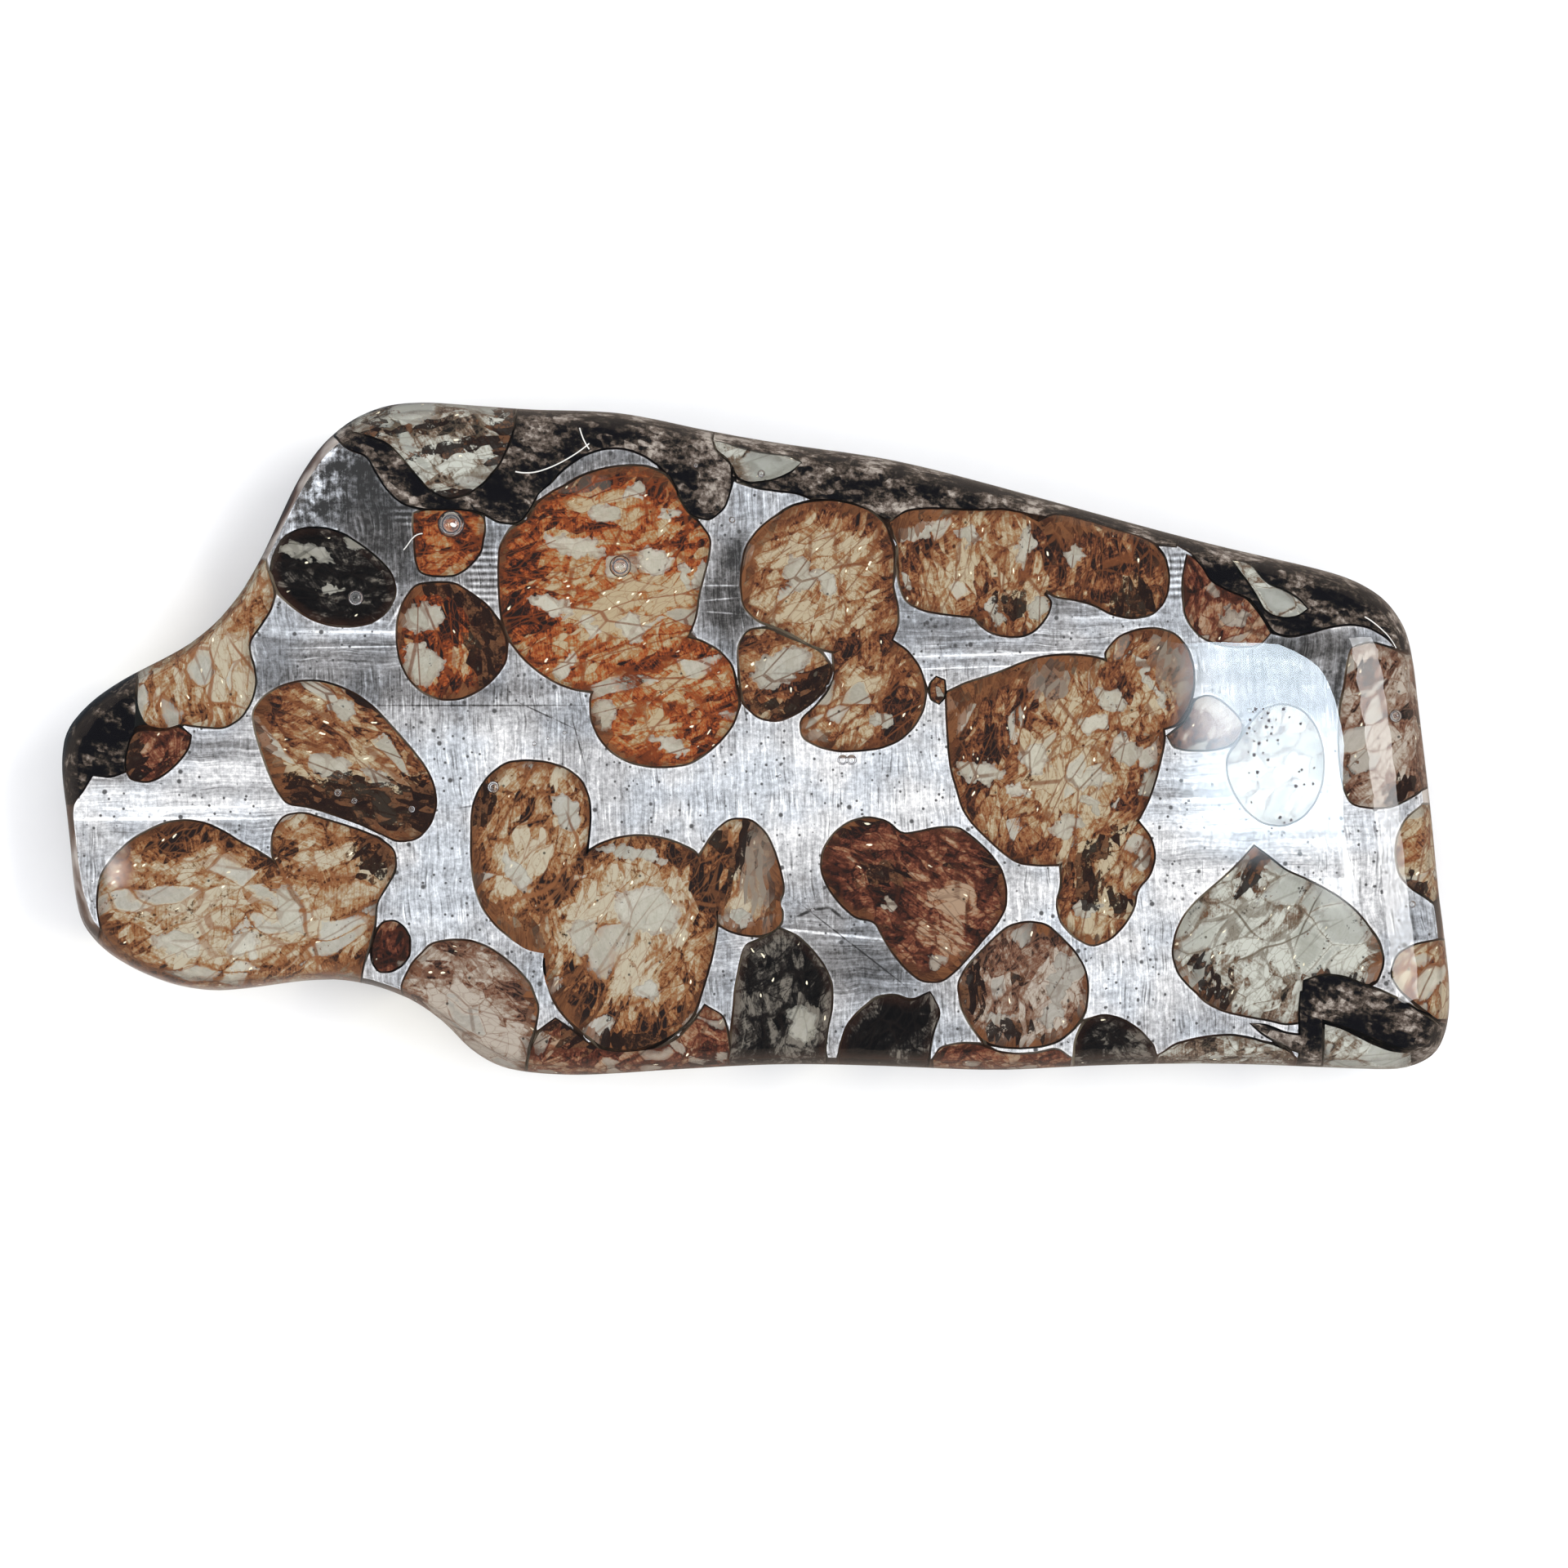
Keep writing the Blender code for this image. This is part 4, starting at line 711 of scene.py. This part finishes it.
olivine("olivine_pair_lower_left", 10, (1.8, 0.7), 0.22, 0.36,
        [(-20.0, -5.9, 3.75, 2.85, 0), (-15.6, -5.3, 2.1, 2.9, 30), (-17.4, -6.2, 2.8, 2.6, 0)],
        windows=[(-21.2, -7.4, 0.85, 0.35, -8), (-18.7, -7.4, 0.6, 0.4, 20), (-17.1, -6.2, 0.4, 0.9, 20)],
        rusts=[(-20.5, -3.7, 2.6, 0.6, 0), (-17.8, -4.2, 1.0, 0.8, -30)], pales=[(-19, -7, 3.5, 1.5, 0)],
        darks=[(-14.0, -4.5, 0.6, 0.8, 60), (-19.3, -3.2, 0.5, 0.25, 0)],
        cracks=[(-16.9, -5.8, 1.7, 0.09, -65), (-16.2, -7.8, 0.7, 0.08, -88)], depth=0.6, hues=STRAW)
olivine("olivine_nub_lower_left", 30, (0.8, 0.6), 0.05, 0.6, hues=MAROON)
olivine("olivine_rim_below_left", -40, (1.3, 0.6), 0.25, 0.19, [(-10.4, -9.8, 2.75, 2.0, -55)],
        rusts=[(-10.8, -8.9, 1.6, 0.2, -12)], pales=[(-10, -10.8, 1.8, 0.8, -50)], hues=TAUPE)

# The crystals under the weathered rind, from the left. Rust from the rind has got into them, so they are
# orange to red, and clear windows are left in their middles. The pale slivers lie in the rind itself.
olivine("olivine_window_top_left", -20, (2.2, 0.9), 0.35, 0.27, hues=GREEN,
        pales=[(-11.3, 9.6, 1.6, 0.8, 0)], rusts=[(-12.5, 11.2, 1.6, 0.4, 0)],
        darks=[(-11.2, 10.5, 1.7, 0.22, 12), (-12.6, 11.2, 1.3, 0.14, 10), (-11.0, 8.95, 1.4, 0.14, 0),
               (-9.2, 10.8, 0.5, 1.2, 0), (-14.2, 11.0, 0.9, 0.25, 40)])
olivine("olivine_orange_block", 0, (1.0, 0.6), 0.03, 0.62, hues=ORANGE, pales=[(-11.6, 6.4, 0.5, 0.3, -30)],
        painted_highlights=[(-10.98, 7.78, 0.26, 0.15, -25)])
olivine("olivine_red_round", 80, (1.2, 0.6), 0.0, 0.5, [(-11.5, 3.5, 1.6, 2.0, 0)], hues=ORANGE,
        windows=[(-12.25, 4.4, 0.75, 0.5, 10), (-12.15, 2.65, 0.7, 0.65, -20), (-12.5, 3.25, 0.35, 0.25, 0)],
        rusts=[(-11.2, 3.4, 0.5, 1.8, 0)], darks=[(-9.9, 3.2, 0.65, 2.2, 10), (-10.9, 5.3, 1.4, 0.25, -15)])
olivine("olivine_pair_orange", 5, (1.7, 0.65), 0.1, 0.44, hues=ORANGE,
        lobes=[(-5.2, 5.2, 4.3, 4.5, 0), (-3.2, 1.6, 2.75, 2.7, 0)],
        windows=[(-6.6, 7.05, 1.15, 0.34, -12), (-5.0, 6.35, 0.5, 0.42, 10), (-3.8, 6.5, 0.55, 0.42, -20),
                 (-5.6, 8.25, 0.6, 0.3, -5), (-7.5, 4.85, 0.9, 0.34, -8), (-4.6, 4.0, 0.4, 0.6, 25),
                 (-6.1, 4.2, 0.22, 0.45, 10), (-2.0, 6.0, 0.2, 0.5, -30), (-5.6, 0.9, 0.4, 0.6, 15),
                 (-3.1, -0.3, 0.8, 0.25, -22), (-2.6, 5.9, 0.2, 0.45, 25), (-4.4, 9.0, 0.4, 0.2, 20),
                 (-3.2, 8.2, 0.4, 0.15, 5), (-7.0, 2.6, 0.5, 0.25, 40)],
        rusts=[(-8.7, 5.4, 0.75, 1.9, 0), (-5.5, 7.6, 3.0, 0.4, -8), (-4.3, 3.0, 1.0, 0.8, 0),
               (-3.0, 0.9, 2.3, 0.35, -28), (-2.1, 8.3, 1.2, 0.6, 20)],
        pales=[(-4, 5.2, 1.8, 1.0, 0), (-3.5, 0.6, 1.7, 1.2, 0)])
olivine("olivine_pair_upper_middle", 30, (1.0, 0.6), 0.1, 0.42,
        [(2.7, 5.2, 2.95, 3.3, 0), (3.9, 1.6, 2.2, 2.1, 0)],
        windows=[(1.6, 6.0, 0.55, 0.6, 20), (2.6, 5.7, 0.3, 0.65, 30), (2.1, 0.1, 0.5, 0.25, -10),
                 (4.6, 0.6, 0.45, 0.3, 0)],
        rusts=[(2.4, 3.4, 2.6, 0.7, 5), (5.0, 5.5, 0.6, 2.2, 0), (5.2, 2.0, 0.8, 1.6, 0),
               (3.6, 2.8, 1.8, 0.6, 10)],
        pales=[(2.0, 6.3, 2.0, 1.6, 0)])
olivine("olivine_crescent", 20, (1.6, 0.8), 0.0, 0.6, windows=[(0.95, 2.6, 1.15, 0.62, 25)],
        darks=[(2.1, 1.7, 1.5, 0.5, 48), (0.7, 1.1, 1.1, 0.3, 0)])
olivine("olivine_grain_small", 0, (0.4, 0.3), 0.0, 0.9)
olivine("olivine_band_top", 70, (1.1, 0.6), 0.1, 0.45,
        [(8.2, 6.0, 3.4, 2.1, 0), (12.9, 5.6, 2.2, 1.9, -15), (9.7, 4.7, 1.4, 0.9, 0)],
        windows=[(6.1, 7.5, 0.8, 0.28, 5), (7.9, 7.35, 0.4, 0.3, 0), (9.8, 6.9, 0.3, 0.65, -8),
                 (8.75, 4.7, 0.25, 0.55, 15), (10.35, 4.7, 0.3, 0.5, -15), (5.5, 5.8, 0.22, 0.3, 0),
                 (11.6, 6.6, 0.25, 0.3, 0)],
        rusts=[(12.4, 5.9, 2.4, 1.3, -15)], darks=[(9.4, 4.9, 0.55, 0.5, 0), (13.9, 4.9, 0.9, 0.8, 0)])
olivine("olivine_brown_top_right", 50, (1.0, 0.6), 0.12, 0.45, hues=MAROON,
        windows=[(17.6, 4.4, 0.5, 0.3, 0)])
olivine("olivine_window_top", 0, (2.0, 1.0), 0.8, 0.1, hues=GREEN)
olivine("olivine_window_top_right", -40, (1.5, 0.7), 0.75, 0.1, hues=GREEN)

# The crystals of the middle and the lower edge. A large straw cluster of three has a clear centre. Round it
# are brown, black and broken crystals that the slice's lower edge cuts off.
olivine("olivine_cluster_centre", 50, (1.5, 0.7), 0.15, 0.5, greys=[(0.15, -4.5, 0.75, 1.9, 0)],
        lobes=[(-8.0, -3.8, 2.25, 3.0, 0), (-4.5, -7.0, 3.2, 4.0, 0), (-0.9, -4.0, 1.6, 2.0, 0),
               (-0.3, -6.0, 0.9, 0.8, 0)],
        windows=[(-4.0, -6.4, 1.15, 0.8, -20), (-4.5, -4.25, 1.3, 0.2, -8), (-8.8, -4.9, 0.35, 0.8, 40),
                 (-7.0, -2.7, 0.45, 0.7, 25), (-4.0, -9.3, 0.5, 0.35, 0), (-0.7, -6.6, 0.65, 0.4, 10),
                 (-6.3, -7.3, 0.5, 0.6, 10)],
        rusts=[(-7.2, -5.0, 2.2, 0.4, 35), (-8.0, -3.3, 1.5, 0.25, -50), (-6.9, -8.9, 0.7, 0.9, 0),
               (-1.9, -4.8, 0.8, 1.0, 0)],
        pales=[(-4.3, -7, 1.8, 2.4, 0), (-8.6, -4.6, 1.2, 1.6, 0)],
        darks=[(-10.0, -2.5, 0.35, 0.8, -20), (-1.4, -3.6, 0.35, 0.6, 20), (-4.6, -10.9, 2.2, 0.25, 8),
               (-0.6, -4.2, 0.2, 1.6, -15)],
        cracks=[(-7.8, -5.6, 1.7, 0.08, 32), (-6.6, -3.6, 1.0, 0.07, -60)], hues=STRAW)
olivine("olivine_rubble_bottom", 10, (0.8, 0.6), 0.1, 0.5, darks=[(-6.4, -10.6, 1.0, 0.6, 0)], hues=MAROON,
        pales=[(-3.4, -11.4, 1.6, 0.6, 0)])
olivine("olivine_dark_bottom", 70, (0.9, 0.7), 0.05, 0.3, hues=BLACK, pales=[(1.7, -10.3, 0.6, 0.7, 0)],
        windows=[(1.7, -10.3, 0.5, 0.6, 0)])
olivine("olivine_brown_twin", -50, (1.1, 0.7), 0.0, 0.55, hues=MAROON,
        lobes=[(4.3, -4.7, 1.85, 1.75, 0), (7.1, -5.6, 2.0, 2.4, 0), (6.0, -6.6, 1.6, 2.0, 40)],
        windows=[(6.6, -8.25, 0.28, 0.3, 0), (4.9, -6.1, 0.35, 0.2, -40)],
        pales=[(6.4, -7.2, 1.7, 1.4, 0), (6.9, -5.9, 0.9, 0.5, 0)], rusts=[(4.2, -4.6, 1.8, 1.7, 0)],
        darks=[(8.8, -4.6, 0.35, 0.4, 0), (4.6, -5.0, 0.8, 0.5, 0)])
olivine("olivine_glassy_round", 60, (1.0, 0.6), 0.2, 0.34, [(9.8, -8.9, 2.35, 2.1, 0)], hues=TAUPE,
        rusts=[(10.2, -7.8, 0.8, 0.6, 0), (8.8, -9.6, 0.6, 0.5, 0)], pales=[(10.9, -9.2, 0.6, 1.3, 0)],
        windows=[(11.2, -8.8, 0.35, 0.9, -10), (10.9, -10.0, 0.5, 0.3, 40), (9.0, -10.1, 0.5, 0.25, 10)],
        darks=[(8.0, -9.2, 0.4, 0.9, 0), (9.6, -10.6, 1.3, 0.25, 0), (9.6, -8.8, 0.25, 0.2, 0)])
olivine("olivine_black_bottom", 40, (0.9, 0.7), 0.0, 0.55, hues=BLACK)
olivine("olivine_rim_bottom", 0, (1.0, 0.5), 0.1, 0.45, hues=MAROON)
olivine("olivine_black_corner", -20, (0.9, 0.6), 0.0, 0.5, hues=BLACK)

# The crystals of the right end. An amber cluster of three is followed by pale green ones, which are nearly
# free of rust, and by the milky and amber ones that the blunt end cuts off.
olivine("olivine_cluster_right", 55, (1.0, 0.5), 0.2, 0.4,
        [(10.9, -1.7, 3.85, 4.2, -10), (14.2, 2.0, 1.75, 1.9, 0), (12.8, -5.6, 1.9, 1.9, 0)],
        rusts=[(8.7, -1.0, 0.9, 2.2, 10), (9.6, -4.3, 1.2, 0.8, -30), (10.7, 1.2, 0.8, 1.2, 0)],
        greys=[(15.3, 2.6, 0.7, 1.3, 20), (10.8, 2.1, 0.7, 0.8, 0)],
        pales=[(11.8, -1.0, 1.8, 2.2, 0)],
        windows=[(13.0, 1.45, 0.6, 0.35, -15), (12.4, 0.55, 0.5, 0.4, 10), (13.6, -0.5, 0.55, 0.4, 30),
                 (12.3, -1.5, 0.7, 0.25, 10), (12.3, -2.35, 0.4, 0.22, 0), (11.4, -3.2, 0.55, 0.35, 20),
                 (8.3, -1.25, 0.9, 0.35, -10), (9.6, -2.0, 0.35, 0.2, 0), (10.3, -0.7, 0.5, 0.55, 20),
                 (14.25, -4.4, 0.25, 0.55, 0), (14.3, 2.4, 0.12, 0.7, 25), (14.8, 1.7, 0.12, 0.6, 25),
                 (12.2, -6.3, 0.5, 0.25, 10)],
        darks=[(13.4, -6.0, 0.5, 0.4, 0), (12.4, -4.2, 1.3, 0.35, 35), (12.2, -5.4, 0.5, 0.8, 0)])
olivine("olivine_faint_small", 30, (1.0, 0.7), 0.1, 0.35, hues=TAUPE)
olivine("olivine_faint_large", 30, (1.2, 0.8), 0.3, 0.1, hues=GREEN, pales=[(19.6, -0.6, 1.0, 1.6, 0)])
olivine("olivine_heart", 30, (1.6, 1.0), 0.55, 0.08, [(19.0, -7.4, 3.7, 2.9, -10)], hues=GREEN,
        rusts=[(16.9, -8.4, 1.3, 0.6, -30), (18.0, -5.2, 0.7, 0.7, 0)],
        darks=[(16.9, -9.4, 0.9, 0.2, -30), (21.2, -8.8, 1.2, 0.12, -10), (18.2, -5.0, 0.9, 0.35, 60),
               (16.6, -8.6, 1.3, 0.12, -50)],
        cracks=[(19.0, -7.8, 2.2, 0.04, 25), (17.9, -6.7, 1.3, 0.04, -40), (20.4, -6.6, 1.2, 0.04, 70)])
olivine("olivine_rim_bottom_right", 0, (1.4, 0.5), 0.3, 0.3, hues=GREEN, rusts=[(15.6, -11.2, 0.9, 0.5, 0)])
olivine("olivine_corner_bottom_right", 0, (1.6, 1.0), 0.7, 0.08, hues=GREEN)
olivine("olivine_rim_right_low", 40, (1.1, 0.7), 0.25, 0.25)
olivine("olivine_rim_right_middle", 40, (1.1, 0.7), 0.3, 0.25, darks=[(24.0, -5.5, 0.6, 0.4, 0)])
olivine("olivine_rim_right_high", 40, (1.3, 0.7), 0.25, 0.36, rusts=[(23.7, 0.8, 0.5, 0.7, 0)], hues=TAUPE,
        darks=[(23.6, -1.9, 0.7, 0.4, 0), (22.4, 2.4, 0.3, 0.5, 0)])

# The resin coat, one clear casting poured round the slice, rolled at its edge by the liquid's own skin and
# flat at its base. It is made of the outer faces of the CAD's two halves, bridged where they part. Two
# rings inset in each flat keep it level up to the roll.
RESIN_TOP = 4.8
PARTING_EDGES = (1.85, 2.05)
HEIGHT_REACH = 0.01
LEVEL_COSINE = 0.999
CAP_INSETS = {0: (0.8, 0.3), RESIN_TOP: (0.35, 0.3)}
RIPPLE = 0.0015
resin = Finish("clear_resin")
ripple = resin.node("Bump", {}, {
    "Strength": 1.0, "Distance": RIPPLE * MM, "Height": resin.noise(resin.place, 0.2, 2.0)})
resin_glass = resin.node("BsdfPrincipled", {}, {
    "Base Color": (1, 1, 1, 1), "Roughness": 0.0, "IOR": 1.5, "Transmission Weight": 1.0, "Normal": ripple})
ray = resin.node("LightPath", out="Is Shadow Ray")
lamp_ray = ray | ray.out("Is Diffuse Ray") | ray.out("Is Glossy Ray")
resin_passing = resin.node("BsdfTransparent", {}, {0: (0.97, 0.98, 0.98, 1)})
resin_finish = resin.end(resin.node("MixShader", {}, {0: lamp_ray, 1: resin_glass, 2: resin_passing}))

bpy.ops.object.select_all(action="DESELECT")
for name in ("resin_coat_bottom", "resin_coat_top"):
    half = nodes[name].copy()
    half.data = nodes[name].data.copy()
    half.parent = None
    bpy.context.scene.collection.objects.link(half)
    half.select_set(True)
    bpy.context.view_layer.objects.active = half
bpy.ops.object.join()
coat = bpy.context.object
coat.name = "resin_coat"


def at_height(*heights):
    """Selects the coat's vertices at any of these heights in mm, and nothing else."""
    bpy.ops.mesh.select_mode(type="VERT")
    bpy.ops.mesh.select_all(action="DESELECT")
    bpy.ops.object.mode_set(mode="OBJECT")
    for vertex in coat.data.vertices:
        vertex.select = any(abs(vertex.co.z / MM - height) < HEIGHT_REACH for height in heights)
    bpy.ops.object.mode_set(mode="EDIT")


bpy.ops.object.mode_set(mode="EDIT")
bpy.ops.mesh.select_mode(type="VERT")
bpy.ops.mesh.select_all(action="SELECT")
bpy.ops.mesh.remove_doubles(threshold=MERGE_REACH)
bpy.ops.mesh.customdata_custom_splitnormals_clear()
bpy.ops.mesh.select_mode(type="FACE")
bpy.ops.object.mode_set(mode="OBJECT")
for polygon in coat.data.polygons:
    polygon.select = abs(polygon.normal.z) > LEVEL_COSINE
bpy.ops.object.mode_set(mode="EDIT")
bpy.ops.mesh.delete(type="FACE")
at_height(0, RESIN_TOP)
bpy.ops.mesh.select_linked()
bpy.ops.mesh.select_all(action="INVERT")
bpy.ops.mesh.delete(type="VERT")
at_height(*PARTING_EDGES)
bpy.ops.mesh.select_mode(type="EDGE")
bpy.ops.mesh.bridge_edge_loops()
for cap, insets in CAP_INSETS.items():
    at_height(cap)
    bpy.ops.mesh.edge_face_add()
    for inset in insets:
        bpy.ops.mesh.inset(thickness=inset * MM, use_even_offset=False)
bpy.ops.mesh.select_all(action="SELECT")
bpy.ops.mesh.normals_make_consistent(inside=False)
bpy.ops.object.mode_set(mode="OBJECT")
bpy.ops.object.shade_smooth()
smooth = coat.modifiers.new("smooth", "SUBSURF")
smooth.levels = smooth.render_levels = 2
bpy.ops.object.modifier_apply(modifier="smooth")
coat.data.materials.clear()
coat.data.materials.append(resin_finish)
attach(coat, "root")
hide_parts("resin_coat_bottom", "resin_coat_top")

# Air bubbles are caught in the resin above the slice. They rose while it was liquid and stopped as it
# hardened, and each is a ball of nothing but air. Its dark rim is painted shade, a dark surface mixed in
# towards its edge. Given are their places and radii.
BUBBLES = [
    (3.2, -0.8, 0.19), (3.52, -0.8, 0.19), (-14.65, 5.15, 0.3), (-4.95, 6.3, 0.4), (24.0, -6.1, 0.13),
    (0.2, 9.6, 0.14), (-0.85, 8.0, 0.12), (23.4, 0.8, 0.24), (-9.6, -1.8, 0.22), (-11.15, 7.85, 0.5),
    (-12.6, -2.6, 0.13), (-15.3, -2.0, 0.15), (-14.7, -2.3, 0.12), (0.9, -1.4, 0.07), (2.1, -6.3, 0.08),
    (17.9, 0.6, 0.1), (18.2, 0.2, 0.1), (18.5, 0.7, 0.09), (18.1, 1.0, 0.08), (-7.0, 0.2, 0.07),
    (-8.1, -0.2, 0.08), (-7.6, 0.0, 0.06), (-2.2, 9.9, 0.09)]
BUBBLE_HEIGHT = 3.75
bubble = Finish("air_bubble")
bubble_glass = bubble.node("BsdfGlass", {}, {"Color": (1, 1, 1, 1), "Roughness": 0.0, "IOR": 1 / 1.5})
bubble_ray = bubble.node("LightPath", out="Is Shadow Ray")
bubble_ray = bubble_ray | bubble_ray.out("Is Diffuse Ray")
# Painted shade: each bubble turns to a dark diffuse colour towards its edge.
bubble_rim_shade = bubble.node("LayerWeight", {}, {"Blend": 0.5}, "Facing").above(0.4, 0.7)
bubble_glass = bubble.node("MixShader", {}, {
    0: bubble_rim_shade * 0.9, 1: bubble_glass, 2: bubble.node("BsdfDiffuse", {}, {0: (0.03, 0.025, 0.025, 1)})})
bubble_finish = bubble.end(bubble.node("MixShader", {}, {
    0: bubble_ray, 1: bubble_glass, 2: bubble.node("BsdfTransparent")}))
bpy.ops.mesh.primitive_uv_sphere_add(segments=24, ring_count=12, radius=MM)
bpy.ops.object.shade_smooth()
pattern = bpy.context.object
pattern.data.materials.append(bubble_finish)
for x, y, radius in BUBBLES:
    ball = pattern.copy()
    ball.name = "air_bubble"
    ball.data = pattern.data.copy()
    middle = Matrix.Translation(Vector((x, y, BUBBLE_HEIGHT)) * MM)
    ball.data.transform(middle @ Matrix.Scale(radius, 4))
    bpy.context.scene.collection.objects.link(ball)
    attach(ball, "root")
bpy.data.objects.remove(pattern)

# Pinholes in the polished top face, where bubbles came to the surface. They have filled with dark polishing
# dust, which is flush with the face. All of them are one piece.
PINHOLES = [
    (18.10, 0.67), (18.22, 0.97), (18.31, 1.06), (18.58, 1.06), (18.76, 0.91), (18.52, 0.73), (18.79, 0.64),
    (17.98, 0.16), (18.07, 0.37), (18.28, 0.25), (18.70, 0.40), (18.91, 0.40), (18.88, 0.16), (18.25, -0.11),
    (18.43, -0.20), (18.73, -0.08), (19.12, -0.08), (19.06, 0.67), (19.33, 1.06), (19.54, 0.76),
    (19.95, 0.52), (18.04, -0.50), (18.25, -0.62), (18.58, -0.54), (18.76, -0.80), (18.07, -1.28),
    (18.37, -1.25), (19.90, -1.22), (19.99, -1.16), (20.44, -1.10), (19.78, -1.76), (20.08, -1.70),
    (20.41, -1.67), (18.15, -2.35), (19.2, -2.9), (19.35, -3.1), (19.6, -3.0), (18.9, -3.3)]
PINHOLE_RADII = (0.05, 0.035, 0.065, 0.04)
PINHOLE_FLATNESS = 0.25
dust = Finish("polishing_dust")
dust_colour = dust.mixed(dust.noise(dust.place, 3.0), (0.05, 0.05, 0.06), (0.16, 0.15, 0.17))
dust_finish = dust.end(dust.node("BsdfPrincipled", {}, {"Base Color": dust_colour, "Roughness": 0.9}))
bpy.ops.mesh.primitive_uv_sphere_add(segments=10, ring_count=6, radius=MM)
pinholes = bpy.context.object
pinholes.name = "pinholes"
bpy.ops.object.mode_set(mode="EDIT")
bpy.ops.mesh.delete(type="VERT")
for index, (x, y) in enumerate(PINHOLES):
    radius = PINHOLE_RADII[index % len(PINHOLE_RADII)]
    bpy.ops.mesh.primitive_uv_sphere_add(
        segments=10, ring_count=6, radius=radius * MM, location=(x * MM, y * MM, RESIN_TOP * MM),
        scale=(1, 1, PINHOLE_FLATNESS))
    bpy.ops.mesh.select_all(action="DESELECT")
bpy.ops.object.mode_set(mode="OBJECT")
bpy.ops.object.shade_smooth()
bpy.ops.object.origin_set(type="ORIGIN_CURSOR")
pinholes.data.materials.append(dust_finish)
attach(pinholes, "root")

# A few stray fibres were caught too as the resin was poured round the slice, each lying as it floated. Each
# is a thin thread along a smooth path, closed at its ends.
FIBRES = [
    ((-8.8, 9.7), (-8.1, 9.55), (-7.5, 9.75), (-6.7, 10.2), (-6.1, 10.7)),
    ((-6.45, 11.3), (-6.4, 11.1), (-6.35, 10.9), (-6.25, 10.7), (-6.1, 10.5)),
    ((22.3, 4.4), (22.7, 4.2), (23.0, 3.9), (23.3, 3.7), (23.5, 3.3)),
    ((-12.9, 6.9), (-12.7, 7.1), (-12.6, 7.4), (-12.4, 7.5), (-12.2, 7.5))]
FIBRE_RADIUS = 0.022
FIBRE_HEIGHT = 3.7
fibre = Finish("fibre")
fibre_colour = fibre.mixed(fibre.noise(fibre.place, 2.0), (0.6, 0.58, 0.54), (0.8, 0.78, 0.74))
fibre_finish = fibre.end(fibre.node("BsdfPrincipled", {}, {"Base Color": fibre_colour, "Roughness": 0.6}))
for path in FIBRES:
    bpy.ops.curve.primitive_nurbs_path_add()
    thread = bpy.context.object
    thread.name = "fibre"
    for point, (x, y) in zip(thread.data.splines[0].points, path):
        point.co = (x * MM, y * MM, FIBRE_HEIGHT * MM, 1.0)
    thread.data.bevel_depth = FIBRE_RADIUS * MM
    thread.data.bevel_resolution = 2
    thread.data.use_fill_caps = True
    bpy.ops.object.convert(target="MESH")
    thread = bpy.context.object
    thread.data.materials.clear()
    thread.data.materials.append(fibre_finish)
    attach(thread, "root")
